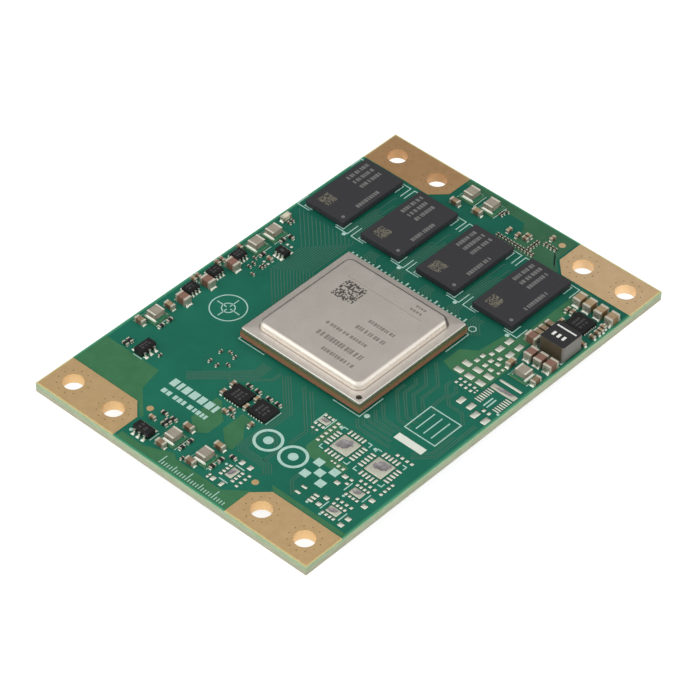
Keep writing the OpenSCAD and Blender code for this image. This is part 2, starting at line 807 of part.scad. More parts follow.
module indicator_light() {
    color("ivory")
        place_on_board(light_places)
            part_body(medium_part);
}

module indicator_light_ends() {
    color("silver")
        place_on_board(light_places)
            part_ends(medium_part);
}

module solder_joints() {
    color("silver") {
        place_on_board(concat(brown_places, beige_places))
            part_joints(large_part);
        place_on_board(concat(medium_places, light_places))
            part_joints(medium_part);
        place_on_board(small_places)
            part_joints(small_part);
        place_on_board(resistor_places)
            part_joints(resistor_part);
        place_on_board(tiny_places)
            part_joints(tiny_part);
        place_on_board(module_places)
            coil_joints();
    }
}

module power_inductor() {
    half = choke_size / 2;
    near = half - choke_cut;
    color("dimgray")
        place_on_board(choke_places)
            translate([0, 0, choke_foot])
                linear_extrude(choke_h)
                    polygon([
                        [-near, -half],
                        [near, -half],
                        [half, -near],
                        [half, near],
                        [near, half],
                        [-near, half],
                        [-half, near],
                        [-half, -near],
                    ]);
}

module power_inductor_feet() {
    color("silver")
        place_on_board(choke_places)
            for (side = [0, 180])
                rotate(side)
                    translate([
                        choke_size / 2 + choke_foot_reach - choke_foot_length,
                        choke_cut - choke_size / 2,
                        0,
                    ])
                        cube([choke_foot_length, choke_size - 2 * choke_cut, choke_foot]);
}

module solder_lead_rows(side_at, count, pitch) {
    for (side = [0, 180])
        rotate(side)
            for (i = [0:count - 1])
                translate([side_at, (i - (count - 1) / 2) * pitch - solder_lead_width / 2, 0])
                    cube([solder_lead_reach, solder_lead_width, solder_lead_h]);
}

module regulator() {
    color("black")
        place_on_board(regulator_places)
            centred_box([regulator_width, regulator_length, flat_chip_h], 0);
}

module regulator_leads() {
    color("silver")
        place_on_board(regulator_places)
            solder_lead_rows(regulator_width / 2, regulator_leads_count, regulator_pitch);
}

module clock_chips() {
    color("black")
        place_on_board(clock_places)
            centred_box([clock_length, clock_width, flat_chip_h], 0);
}

module clock_leads() {
    color("silver")
        place_on_board(clock_places)
            solder_lead_rows(clock_length / 2, clock_leads_count, clock_pitch);
}

// Moulded body with leaning sides and an upright band where its leads come out
module moulded_body(length, width, height) {
    half = width / 2;
    middle = (height + chip_lift) / 2;
    translate([-length / 2, 0, 0])
        rotate([90, 0, 90])
            linear_extrude(length)
                polygon([
                    [-half + mould_lean, chip_lift],
                    [half - mould_lean, chip_lift],
                    [half, middle - lead_thick / 2],
                    [half, middle + lead_thick / 2],
                    [half - mould_lean, height],
                    [-half + mould_lean, height],
                    [-half, middle + lead_thick / 2],
                    [-half, middle - lead_thick / 2],
                ]);
}

// Three bent leads on each long side
module bent_leads(width, height, pitch, lead) {
    low = (height + chip_lift) / 2 - lead_thick / 2;
    high = low + lead_thick;
    bend = lead[0] - lead[1];
    for (side = [0, 180])
        rotate(side)
            for (i = [-1:1])
                translate([i * pitch - lead[2] / 2, width / 2, 0])
                    rotate([90, 0, 90])
                        linear_extrude(lead[2])
                            polygon([
                                [0, low],
                                [bend - lead_thick, low],
                                [bend - lead_thick, 0],
                                [lead[0], 0],
                                [lead[0], lead_thick],
                                [bend, lead_thick],
                                [bend, high],
                                [0, high],
                            ]);
}

module six_lead_chips() {
    color("black")
        place_on_board(chip_places)
            moulded_body(chip_length, chip_width, chip_h);
}

module six_lead_chip_leads() {
    color("silver")
        place_on_board(chip_places)
            bent_leads(chip_width, chip_h, chip_pitch, chip_lead);
}

module gate_chip() {
    color("black")
        place_on_board(gate_places)
            moulded_body(gate_length, gate_width, switch_h);
}

module gate_chip_leads() {
    color("silver")
        place_on_board(gate_places)
            bent_leads(gate_width, switch_h, switch_pitch, chip_lead);
}

module switch_chips() {
    color("black")
        place_on_board(switch_places)
            moulded_body(switch_length, switch_width, switch_h);
}

module switch_chip_leads() {
    color("silver")
        place_on_board(switch_places)
            bent_leads(switch_width, switch_h, switch_pitch, switch_lead);
}

// Open trough that faces down, with its floor against the board
module plug(index) {
    color("black")
        translate([plug_places[index], 0, 0])
            difference() {
                centred_box([plug_width, plug_length, plug_h], 0);
                centred_box(
                    [
                        plug_width - 2 * plug_wall,
                        plug_length - 2 * plug_wall,
                        plug_h - plug_floor + overcut,
                    ],
                    -overcut
                );
            }
}

// Angled contacts: a foot on the board and a blade down the plug's side
module plug_contacts(index) {
    color("gold")
        translate([plug_places[index], 0, plug_h])
            for (side = [0, 180])
                rotate(side)
                    for (i = [0:contact_count - 1])
                        translate([
                            plug_width / 2,
                            (i - (contact_count - 1) / 2) * contact_pitch + contact_width / 2,
                            0,
                        ])
                            rotate([90, 0, 0])
                                linear_extrude(contact_width)
                                    polygon([
                                        [0, 0],
                                        [contact_foot, 0],
                                        [contact_foot, -contact_thick],
                                        [contact_thick, -contact_thick],
                                        [contact_thick, -contact_drop],
                                        [0, -contact_drop],
                                    ]);
}

module place_underneath() {
    for (i = [0:under_columns - 1])
        for (j = [0:under_rows - 1])
            translate([
                (i - (under_columns - 1) / 2) * under_step_x,
                (j - (under_rows - 1) / 2) * under_step_y,
                plug_h,
            ])
                mirror([0, 0, 1])
                    children();
}

module underside_capacitors() {
    color("tan")
        place_underneath()
            part_body(small_part);
}

module underside_capacitor_ends() {
    color("silver")
        place_underneath()
            part_ends(small_part);
}

circuit_board();
rear_left_land();
rear_right_land();
front_left_land();
front_right_land();
bare_pads();
alignment_marks();
processor_substrate();
processor_balls();
processor_die();
thermal_paste();
lid_adhesive();
processor_lid();
memory_chip(0);  // memory_chip_1
memory_chip(1);  // memory_chip_2
memory_chip(2);  // memory_chip_3
memory_chip(3);  // memory_chip_4
memory_balls();
module_boards();
module_coils();
module_coil_ends();
brown_capacitors();
beige_capacitors();
large_capacitor_ends();
medium_capacitors();
medium_capacitor_ends();
small_capacitors();
small_capacitor_ends();
resistors();
resistor_ends();
tiny_parts();
tiny_part_ends();
indicator_light();
indicator_light_ends();
power_inductor();
power_inductor_feet();
regulator();
regulator_leads();
clock_chips();
clock_leads();
six_lead_chips();
six_lead_chip_leads();
gate_chip();
gate_chip_leads();
switch_chips();
switch_chip_leads();
solder_joints();
plug(0);  // plug_1
plug(1);  // plug_2
plug(2);  // plug_3
plug(3);  // plug_4
plug_contacts(0);  // plug_1_contacts
plug_contacts(1);  // plug_2_contacts
plug_contacts(2);  // plug_3_contacts
plug_contacts(3);  // plug_4_contacts
underside_capacitors();
underside_capacitor_ends();
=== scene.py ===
"""Looks of the system on module: surfaces, solder, printing, camera and light."""

import math
import random

import bmesh
import bpy
from mathutils import Matrix, Vector


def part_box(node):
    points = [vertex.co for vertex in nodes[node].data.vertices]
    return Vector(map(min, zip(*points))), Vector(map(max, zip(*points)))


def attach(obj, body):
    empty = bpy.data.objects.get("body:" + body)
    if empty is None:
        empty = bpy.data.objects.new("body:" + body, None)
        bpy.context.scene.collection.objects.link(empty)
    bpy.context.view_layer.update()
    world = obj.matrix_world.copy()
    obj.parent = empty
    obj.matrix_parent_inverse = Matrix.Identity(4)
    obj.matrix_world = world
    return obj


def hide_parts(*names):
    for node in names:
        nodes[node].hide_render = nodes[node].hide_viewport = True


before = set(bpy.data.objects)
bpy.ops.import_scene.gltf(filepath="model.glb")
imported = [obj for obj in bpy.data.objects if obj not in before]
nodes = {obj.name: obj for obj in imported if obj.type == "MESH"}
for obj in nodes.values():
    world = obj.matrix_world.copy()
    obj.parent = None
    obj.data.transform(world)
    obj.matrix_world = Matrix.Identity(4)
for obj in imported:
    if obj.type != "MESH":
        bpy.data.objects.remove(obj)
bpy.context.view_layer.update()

MM = 0.001
board_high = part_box("circuit_board")[1]
TOP = board_high.z
HALF_LENGTH = board_high.x
HALF_WIDTH = board_high.y
REAR = Vector((0.75, 0.66, 0.0)).normalized()
LID_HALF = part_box("processor_lid")[1].x / MM
LID_FLANGE = 1.45
LID_FOOT = LID_HALF - LID_FLANGE
LID_CORNER = 1.5
POUR_HEIGHT = 0.012
INK_HEIGHT = 0.03
MARK_HEIGHT = 0.004
QUARTERS = ((-1, -1), (-1, 1), (1, -1), (1, 1))
LAND_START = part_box("rear_right_land")[0]


# Colours and shader nodes


def paint(red, green, blue):
    """A colour, given 0 to 255 a channel, as the light values that shaders want."""
    values = []
    for channel in (red, green, blue):
        share = channel / 255
        values.append(
            share / 12.92 if share <= 0.04045 else ((share + 0.055) / 1.055) ** 2.4
        )
    return (*values, 1.0)


class Wiring:
    """Adds nodes to a tree and joins them."""

    def __init__(self, tree):
        self.tree = tree

    def add(self, kind, **settings):
        node = self.tree.nodes.new(kind)
        for name, value in settings.items():
            setattr(node, name, value)
        return node

    def join(self, out, into):
        self.tree.links.new(out, into)

    def feed(self, socket, value):
        """Joins another node's output to a socket, or sets a plain value."""
        if isinstance(value, bpy.types.NodeSocket):
            self.join(value, socket)
        else:
            socket.default_value = value

    def sum(self, operation, first, second=0.0):
        node = self.add("ShaderNodeMath", operation=operation)
        self.feed(node.inputs[0], first)
        self.feed(node.inputs[1], second)
        return node.outputs[0]

    def vector(self, operation, first, second=(0.0, 0.0, 0.0)):
        node = self.add("ShaderNodeVectorMath", operation=operation)
        self.feed(node.inputs[0], first)
        self.feed(node.inputs[1], second)
        return node.outputs

    def split(self, vector):
        node = self.add("ShaderNodeSeparateXYZ")
        self.join(vector, node.inputs[0])
        return node.outputs

    def spot(self):
        """The place of the shaded point in its piece."""
        return self.add("ShaderNodeTexCoord").outputs["Object"]

    def facing(self):
        """The way that the face looks, without smoothing."""
        return self.split(self.add("ShaderNodeNewGeometry").outputs["True Normal"])

    def ramp(self, value, low, high, start=0.0, end=1.0, smooth=False):
        node = self.add(
            "ShaderNodeMapRange",
            interpolation_type="SMOOTHSTEP" if smooth else "LINEAR",
        )
        for socket, amount in zip(node.inputs, (value, low, high, start, end)):
            self.feed(socket, amount)
        return node.outputs["Result"]

    def fill(self, cloud, start=0.0, end=1.0):
        """Draws cloudy noise, which lies mostly between 0.3 and 0.7, out to a whole range."""
        return self.ramp(cloud, 0.3, 0.7, start, end)

    def mix(self, share, first, second):
        node = self.add("ShaderNodeMix", data_type="RGBA")
        self.feed(node.inputs["Factor"], share)
        self.feed(node.inputs[6], first)
        self.feed(node.inputs[7], second)
        return node.outputs[2]

    def tones(self, share, first, second):
        """Mixes two given colours."""
        return self.mix(share, paint(*first), paint(*second))

    def noise(self, vector, scale, detail):
        node = self.add("ShaderNodeTexNoise")
        for name, value in (("Vector", vector), ("Scale", scale), ("Detail", detail)):
            self.feed(node.inputs[name], value)
        return node.outputs["Fac"]

    def group(self, tree, **values):
        node = self.add("ShaderNodeGroup", node_tree=tree)
        for name, value in values.items():
            self.feed(node.inputs[name], value)
        return node.outputs


def new_group(name, inputs, outputs):
    """An empty node group: its wiring, what it is given and where its results go."""
    tree = bpy.data.node_groups.new(name, "ShaderNodeTree")
    for label, kind, value in inputs:
        socket = tree.interface.new_socket(label, in_out="INPUT", socket_type=kind)
        socket.default_value = value
    for label, kind in outputs:
        tree.interface.new_socket(label, in_out="OUTPUT", socket_type=kind)
    wiring = Wiring(tree)
    return wiring, wiring.add("NodeGroupInput").outputs, wiring.add("NodeGroupOutput").inputs


FLOAT = "NodeSocketFloat"
VECTOR = "NodeSocketVector"


def make_grain():
    """Two sizes of cloudy noise, as one value round a half."""
    w, given, result = new_group(
        "grain", [("Size", FLOAT, 1.0), ("Fine", FLOAT, 0.5)], [("Value", FLOAT)]
    )
    place = w.spot()
    per_metre = w.sum("DIVIDE", 1 / MM, given["Size"])
    clouds = [w.noise(place, w.sum("MULTIPLY", per_metre, share), 3.0) for share in (1.0, 6.0)]
    blend = w.add("ShaderNodeMix", data_type="FLOAT")
    w.join(given["Fine"], blend.inputs["Factor"])
    w.join(clouds[0], blend.inputs[2])
    w.join(clouds[1], blend.inputs[3])
    w.join(blend.outputs[0], result["Value"])
    return w.tree


def make_relief():
    """Rounded edges with fine bumps over them."""
    w, given, result = new_group(
        "relief",
        [("Edge", FLOAT, 0.05), ("Size", FLOAT, 0.2), ("Height", FLOAT, 0.01)],
        [("Normal", VECTOR)],
    )
    edge = w.add("ShaderNodeBevel", samples=6)
    w.join(w.sum("MULTIPLY", given["Edge"], MM), edge.inputs["Radius"])
    noise = w.noise(w.spot(), w.sum("DIVIDE", 1 / MM, given["Size"]), 2.0)
    bump = w.add("ShaderNodeBump")
    bump.inputs["Strength"].default_value = 1.0
    w.join(w.sum("MULTIPLY", given["Height"], MM), bump.inputs["Distance"])
    w.join(noise, bump.inputs["Height"])
    w.join(edge.outputs["Normal"], bump.inputs["Normal"])
    w.join(bump.outputs["Normal"], result["Normal"])
    return w.tree


def make_strata():
    """Cloudy noise drawn out along some axes: layers on cut edges, brush marks on flat faces."""
    w, given, result = new_group(
        "strata", [("Stretch", VECTOR, (1.0, 1.0, 1.0))], [("Value", FLOAT)]
    )
    place = w.vector("MULTIPLY", w.spot(), given["Stretch"])["Vector"]
    w.join(w.noise(place, 1 / MM, 3.0), result["Value"])
    return w.tree


grain = make_grain()
relief = make_relief()
strata = make_strata()


def new_material(name):
    """A material, its wiring and the inputs of its surface."""
    material = bpy.data.materials.new(name)
    material.use_nodes = True
    tree = material.node_tree
    return material, Wiring(tree), tree.nodes["Principled BSDF"].inputs


def add_relief(w, surface, edge, size, height):
    """Rounds the edges of a surface and covers it with bumps, all sizes in millimetres."""
    normal = w.group(relief, Edge=edge, Size=size, Height=height)["Normal"]
    w.join(normal, surface["Normal"])


def finish(
    name,
    first,
    second,
    size=0.6,
    fine=0.5,
    rough=(0.4, 0.5),
    metal=0.0,
    edge=0.04,
    bump_size=0.15,
    bump=0.004,
    shine=0.5,
    brushed=None,
    others=None,
    sides=None,
    ends=None,
):
    """Two close colours mixed by grain, uneven roughness, rounded edges and fine bumps.

    Others are the colours of the parts in some places, sides those of upright faces and ends
    those of upright faces that look along X.
    """
    material, w, surface = new_material(name)
    if brushed:
        cloud = w.group(strata, Stretch=brushed)["Value"]
    else:
        cloud = w.group(grain, Size=size, Fine=fine)["Value"]
    share = w.fill(cloud)
    colour = w.tones(share, first, second)
    if others:
        spread = w.group(grain, Size=2.6, Fine=0.0)["Value"]
        colour = w.mix(w.ramp(spread, 0.48, 0.52), colour, w.tones(share, *others))
    facing = w.facing()
    if sides:
        upright = w.sum("LESS_THAN", w.sum("ABSOLUTE", facing["Z"]), 0.7)
        colour = w.mix(upright, colour, w.tones(share, *sides))
    if ends:
        along = w.sum("GREATER_THAN", w.sum("ABSOLUTE", facing["X"]), 0.8)
        colour = w.mix(along, colour, w.tones(share, *ends))
    w.join(colour, surface["Base Color"])
    w.join(w.fill(cloud, *rough), surface["Roughness"])
    surface["Metallic"].default_value = metal
    surface["Specular IOR Level"].default_value = shine
    add_relief(w, surface, edge, bump_size, bump)
    return material


def make_mask():
    """Green lacquer on the board's faces, bare laminate on its edges and round the lands."""
    material, w, surface = new_material("solder_mask")
    cloud = w.group(grain, Size=9.0, Fine=0.25)["Value"]
    lacquer = w.tones(w.fill(cloud), (16, 100, 80), (25, 112, 91))
    place = w.split(w.spot())
    far_x = w.sum("ABSOLUTE", place["X"])
    far_y = w.sum("ABSOLUTE", place["Y"])
    gap = w.sum(
        "MINIMUM", w.sum("SUBTRACT", HALF_LENGTH, far_x), w.sum("SUBTRACT", HALF_WIDTH, far_y)
    )
    # Darker towards the right, and a painted shadow of the package on the board in front of it.
    to_right = w.ramp(place["X"], -12 * MM, 18 * MM, 0.0, 0.45, True)
    package_shadow_reach = w.ramp(w.sum("MAXIMUM", far_x, far_y), 11.5 * MM, 16 * MM, 0.45, 0.0, True)
    to_front = w.sum("SUBTRACT", place["X"], place["Y"])
    package_shadow = w.sum("MULTIPLY", package_shadow_reach, w.ramp(to_front, -6 * MM, 6 * MM, 0.0, 1.0, True))
    lacquer = w.mix(w.sum("MAXIMUM", to_right, package_shadow), lacquer, paint(10, 80, 66))
    # Lighter green near the board's edges: partly the thinner lacquer there, partly a painted
    # highlight along the edge.
    rim = w.ramp(gap, 0.0, 0.6 * MM, 0.75, 0.0, True)
    lacquer = w.mix(rim, lacquer, paint(92, 172, 130))
    by_land = w.sum(
        "MULTIPLY",
        w.sum("GREATER_THAN", far_x, LAND_START.x),
        w.sum("GREATER_THAN", far_y, LAND_START.y),
    )
    bare = w.sum("MULTIPLY", by_land, w.sum("LESS_THAN", gap, 0.3 * MM))
    lacquer = w.mix(bare, lacquer, paint(206, 196, 142))
    ply = w.group(strata, Stretch=(0.6, 0.6, 5.0))["Value"]
    upper = w.tones(w.fill(ply), (166, 192, 154), (192, 210, 176))
    lower = w.tones(w.fill(ply), (176, 178, 152), (200, 200, 178))
    height = w.ramp(place["Z"], TOP - 1.1 * MM, TOP - 0.5 * MM)
    laminate = w.mix(height, lower, upper)
    flat = w.sum("GREATER_THAN", w.sum("ABSOLUTE", w.facing()["Z"]), 0.5)
    w.join(w.mix(flat, laminate, lacquer), surface["Base Color"])
    w.join(w.ramp(flat, 0.0, 1.0, 0.75, 0.48), surface["Roughness"])
    surface["Specular IOR Level"].default_value = 0.22
    add_relief(w, surface, 0.07, 0.5, 0.004)
    return material


def make_gold():
    """Gold plating, with painted shade on the rear right land and painted light on the front right
    one.
    """
    material, w, surface = new_material("gold_plating")
    cloud = w.group(grain, Size=1.2, Fine=0.5)["Value"]
    share = w.fill(cloud)
    plating = w.tones(share, (228, 193, 141), (239, 207, 158))
    place = w.split(w.spot())
    to_rear = w.sum("ADD", place["X"], place["Y"])
    to_front = w.sum("SUBTRACT", place["X"], place["Y"])
    # Painted shade on the rear right land, painted light on the front right land.
    dull = w.tones(share, (206, 165, 119), (216, 176, 131))
    plating = w.mix(w.ramp(to_rear, 24 * MM, 50 * MM), plating, dull)
    bright = w.tones(share, (243, 209, 163), (250, 220, 177))
    plating = w.mix(w.ramp(to_front, 24 * MM, 50 * MM), plating, bright)
    w.join(plating, surface["Base Color"])
    w.join(w.fill(cloud, 0.46, 0.56), surface["Roughness"])
    surface["Metallic"].default_value = 1.0
    add_relief(w, surface, 0.03, 0.12, 0.006)
    return material


def make_lid_metal():
    """Blasted nickel, with painted shade in the crease round the crown and a painted dark
    reflection on bends that lean to the rear and right.
    """
    material, w, surface = new_material("lid_nickel")
    cloud = w.group(grain, Size=2.5, Fine=0.5)["Value"]
    metal = w.tones(w.fill(cloud), (228, 220, 211), (236, 229, 221))
    # Painted dark reflection on bends that lean to the rear and right, and painted shade in the
    # crease at the crown's foot.
    normal = w.add("ShaderNodeNewGeometry").outputs["Normal"]
    to_rear = w.vector("DOT_PRODUCT", normal, REAR)["Value"]
    to_right = w.vector("DOT_PRODUCT", normal, (1.2, 0.0, 0.0))["Value"]
    painted_bend_reflection = w.ramp(w.sum("MAXIMUM", to_rear, to_right), 0.03, 0.35, 0.0, 0.85, True)
    painted_bend_reflection = w.sum("MULTIPLY", painted_bend_reflection, w.ramp(to_rear, 0.5, 0.75, 1.0, 0.0, True))
    spot = w.spot()
    straight = (LID_FOOT - LID_CORNER) * MM
    outside = w.vector("SUBTRACT", w.vector("ABSOLUTE", spot)["Vector"], (straight, straight, 1.0))
    beyond = w.vector("MAXIMUM", outside["Vector"])["Vector"]
    gap = w.sum("SUBTRACT", w.vector("LENGTH", beyond)["Value"], LID_CORNER * MM)
    away = w.sum("ABSOLUTE", w.sum("SUBTRACT", gap, 0.03 * MM))
    crease = w.ramp(away, 0.03 * MM, 0.1 * MM, 0.6, 0.0, True)
    dull = w.sum("MAXIMUM", painted_bend_reflection, crease)
    w.join(w.mix(dull, metal, paint(84, 76, 71)), surface["Base Color"])
    w.join(w.fill(cloud, 0.41, 0.46), surface["Roughness"])
    surface["Metallic"].default_value = 1.0
    add_relief(w, surface, 0.03, 0.06, 0.003)
    return material


def make_substrate():
    """The package's laminate: red brown layers under an olive upper layer."""
    material, w, surface = new_material("package_substrate")
    ply = w.fill(w.group(strata, Stretch=(0.75, 0.75, 6.2))["Value"])
    patch = w.ramp(w.group(grain, Size=3.0, Fine=0.2)["Value"], 0.4, 0.6)
    lower = w.tones(patch, (150, 109, 79), (158, 107, 87))
    lower = w.mix(w.sum("MULTIPLY", ply, 0.6), lower, paint(126, 92, 68))
    upper = w.tones(ply, (96, 98, 62), (116, 110, 72))
    place = w.split(w.spot())
    low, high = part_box("processor_substrate")
    layer = low.z + 0.62 * (high.z - low.z)
    height = w.ramp(place["Z"], layer, layer + 0.15 * MM)
    w.join(w.mix(height, lower, upper), surface["Base Color"])
    w.join(w.ramp(ply, 0.0, 1.0, 0.55, 0.65), surface["Roughness"])
    surface["Specular IOR Level"].default_value = 0.3
    add_relief(w, surface, 0.04, 0.12, 0.006)
    return material


def make_ink():
    """Printing ink, thin enough to let some green through."""
    material, w, surface = new_material("ink")
    cloud = w.group(grain, Size=0.5, Fine=0.5)["Value"]
    tint = w.tones(w.ramp(cloud, 0.35, 0.65), (160, 202, 190), (188, 217, 207))
    w.join(tint, surface["Base Color"])
    w.join(w.fill(cloud, 0.5, 0.65), surface["Roughness"])
    return material


def print_finish(name, first, second):
    """A thin dull print on a part."""
    return finish(name, first, second, 0.25, 0.6, (0.6, 0.7), edge=0.005)


mask = make_mask()
gold = make_gold()
nickel = make_lid_metal()
substrate = make_substrate()
ink = make_ink()
pour = finish(
    "mask_over_copper", (54, 110, 74), (66, 122, 84), 3.0, 0.3, (0.44, 0.52),
    edge=0.02, bump_size=0.5, shine=0.22,
)
right_pour = finish(
    "mask_over_right_copper", (50, 98, 70), (60, 107, 79), 3.0, 0.3, (0.44, 0.52),
    edge=0.02, bump_size=0.5, shine=0.22,
)
trace = finish(
    "mask_over_trace", (60, 105, 87), (71, 113, 96), 1.0, 0.4, (0.44, 0.52),
    edge=0.02, shine=0.22,
)
contact_gold = finish("contact_gold", (224, 186, 110), (238, 204, 130), 0.6, 0.5, (0.2, 0.3), 1.0)
tin = finish("tin", (204, 208, 195), (218, 221, 208), 0.5, 0.4, (0.24, 0.32), 0.9, bump=0.003)
# The darker upright faces of the part ends are painted shade.
end_tin = finish(
    "end_tin", (204, 198, 181), (220, 214, 199), 0.3, 0.5, (0.36, 0.46), 0.4,
    edge=0.07, bump=0.003, sides=((164, 158, 140), (186, 180, 163)),
)
pad_tin = finish(
    "pad_tin", (216, 220, 206), (231, 234, 221), 0.4, 0.4, (0.28, 0.38), 0.6, bump=0.003
)
wide_tin = finish(
    "wide_tin", (196, 197, 180), (214, 214, 198), 0.7, 0.5, (0.3, 0.4), 0.45, bump=0.004
)
# Darker tin for the hollows of large pads: thinner tin, with a painted dark reflection.
hollow_tin_painted_dark = finish(
    "hollow_tin_painted_dark", (146, 139, 143), (216, 210, 213), 0.5, 0.6, (0.24, 0.34), 0.85, bump=0.006
)
# The darker upright faces of the coil ends are painted shade.
coil_tin = finish(
    "coil_tin", (226, 222, 206), (240, 236, 222), 0.3, 0.5, (0.36, 0.46), 0.4,
    edge=0.05, bump=0.003, sides=((150, 142, 124), (172, 164, 146)),
)
adhesive = finish("adhesive", (40, 38, 30), (56, 52, 40), rough=(0.5, 0.7))
silicon = finish("silicon", (80, 80, 84), (94, 94, 98), rough=(0.15, 0.25))
paste = finish("paste", (190, 190, 188), (204, 204, 202), rough=(0.6, 0.7))
memory_mould = finish(
    "memory_mould", (48, 48, 51), (58, 58, 61), 0.5, 0.7, (0.55, 0.65),
    edge=0.06, bump_size=0.07, bump=0.004, shine=0.3,
)
chip_mould = finish(
    "chip_mould", (22, 21, 22), (32, 30, 31), 0.4, 0.7, (0.5, 0.62),
    edge=0.05, bump_size=0.07, bump=0.004, shine=0.3,
)
coil_grey = finish(
    "coil_grey", (144, 136, 121), (166, 158, 143), rough=(0.5, 0.65), edge=0.06,
    bump_size=0.08, bump=0.004, brushed=(7.0, 0.8, 7.0),
)
# The darker upright faces of the ceramic bodies below are painted shade.
brown_ceramic = finish(
    "brown_ceramic", (126, 92, 80), (146, 112, 98), 0.5, 0.5, (0.42, 0.55), edge=0.06,
    shine=0.3, sides=((104, 76, 62), (124, 94, 78)),
)
beige_ceramic = finish(
    "beige_ceramic", (152, 128, 98), (176, 152, 120), 0.5, 0.5, (0.42, 0.55),
    edge=0.06, shine=0.3, sides=((116, 94, 58), (136, 112, 72)),
)
small_ceramic = finish(
    "small_ceramic", (126, 105, 85), (148, 126, 104), 0.3, 0.5, (0.42, 0.55),
    edge=0.04, shine=0.3, others=((150, 127, 97), (170, 147, 115)),
    sides=((92, 74, 58), (114, 94, 74)),
)
tiny_dark = finish(
    "tiny_dark", (26, 24, 24), (42, 38, 36), 0.3, 0.5, (0.3, 0.42), edge=0.03,
    others=((74, 58, 48), (96, 78, 66)),
)
resistor_black = finish(
    "resistor_black", (24, 24, 25), (38, 37, 38), 0.3, 0.5, (0.3, 0.42), edge=0.03
)
light_lens = finish("light_lens", (214, 206, 180), (228, 222, 198), rough=(0.3, 0.4))
# The inductor's faces that look along X are darker: painted shade from the capacitors beside it.
choke_black = finish(
    "choke_black", (30, 30, 33), (42, 42, 45), 0.35, 0.7, (0.36, 0.46), edge=0.16,
    bump_size=0.08, bump=0.006, sides=((102, 99, 93), (120, 117, 110)),
    ends=((66, 58, 44), (84, 75, 58)),
)
carrier_green = finish(
    "carrier_green", (34, 104, 76), (52, 128, 96), 0.6, 0.5, (0.4, 0.5), shine=0.3,
    sides=((84, 128, 88), (118, 156, 112)),
)
plug_plastic = finish("plug_plastic", (30, 30, 32), (40, 40, 42), 0.8, 0.5, (0.42, 0.52), edge=0.06)
pale_print = print_finish("pale_print", (98, 98, 98), (124, 124, 122))
ochre_print = print_finish("ochre_print", (100, 96, 84), (122, 117, 102))
dark_print = print_finish("dark_print", (66, 62, 59), (86, 81, 77))
grey_print = print_finish("grey_print", (120, 113, 107), (142, 135, 129))
faint_print = print_finish("faint_print", (58, 57, 58), (74, 73, 73))
white_print = finish(
    "white_print", (224, 226, 222), (238, 240, 236), 0.5, 0.5, (0.55, 0.65), edge=0.005
)
label_white = finish(
    "label_white", (217, 222, 211), (229, 233, 224), 0.8, 0.5, (0.55, 0.65), edge=0.01
)
bare_laminate = finish(
    "bare_laminate", (42, 68, 50), (56, 84, 62), 0.3, 0.5, (0.5, 0.6), edge=0.005,
    shine=0.2,
)
via_shadow = finish("via_shadow", (134, 106, 72), (152, 122, 86), 0.2, 0.5, (0.4, 0.5), edge=0.005)

worn = (
    (mask, "circuit_board"),
    (gold, "rear_left_land rear_right_land front_left_land front_right_land alignment_marks"),
    (pad_tin, "bare_pads"),
    (substrate, "processor_substrate"),
    (silicon, "processor_die"),
    (paste, "thermal_paste"),
    (adhesive, "lid_adhesive"),
    (nickel, "processor_lid"),
    (memory_mould, "memory_chip_1 memory_chip_2 memory_chip_3 memory_chip_4"),
    (carrier_green, "module_boards"),
    (coil_grey, "module_coils"),
    (coil_tin, "module_coil_ends"),
    (brown_ceramic, "brown_capacitors"),
    (beige_ceramic, "beige_capacitors"),
    (small_ceramic, "medium_capacitors small_capacitors underside_capacitors"),
    (end_tin, "large_capacitor_ends medium_capacitor_ends small_capacitor_ends resistor_ends"),
    (end_tin, "tiny_part_ends indicator_light_ends underside_capacitor_ends"),
    (resistor_black, "resistors"),
    (tiny_dark, "tiny_parts"),
    (light_lens, "indicator_light"),
    (choke_black, "power_inductor"),
    (chip_mould, "regulator clock_chips six_lead_chips gate_chip switch_chips"),
    (tin, "processor_balls memory_balls power_inductor_feet regulator_leads clock_leads"),
    (tin, "six_lead_chip_leads gate_chip_leads switch_chip_leads solder_joints"),
    (plug_plastic, "plug_1 plug_2 plug_3 plug_4"),
    (contact_gold, "plug_1_contacts plug_2_contacts plug_3_contacts plug_4_contacts"),
)
finishes = {name: material for material, names in worn for name in names.split()}

for name, solid in nodes.items():
    solid.data.materials.clear()
    solid.data.materials.append(finishes[name])


# Flat shapes laid on the board and on the parts, in millimetres from the board's middle


def circle(x, y, radius, corners):
    turn = 2 * math.pi / corners
    return [
        (x + radius * math.cos(i * turn), y + radius * math.sin(i * turn)) for i in range(corners)
    ]


def mitres(corners, closed=False):
    """Each corner of a line, the way to its left there, and how much the turn narrows the line."""
    line = [Vector(corner) for corner in corners]
    count = len(line)
    for i, here in enumerate(line):
        come = (here - line[i - 1]).normalized() if closed or i else None
        go = (line[(i + 1) % count] - here).normalized() if closed or i < count - 1 else None
        come, go = come or go, go or come
        along = (come + go).normalized()
        yield here, Vector((-along.y, along.x)), along.dot(come)


def new_mesh(name, points, faces, material):
    mesh = bpy.data.meshes.new(name)
    mesh.from_pydata(points, [], faces)
    mesh.materials.append(material)
    return mesh


def new_object(name, data):
    thing = bpy.data.objects.new(name, data)
    bpy.context.scene.collection.objects.link(thing)
    return thing


def add_piece(name, mesh):
    """A piece of the part that rides on its one body."""
    piece = new_object(name, mesh)
    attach(piece, "root")
    return piece


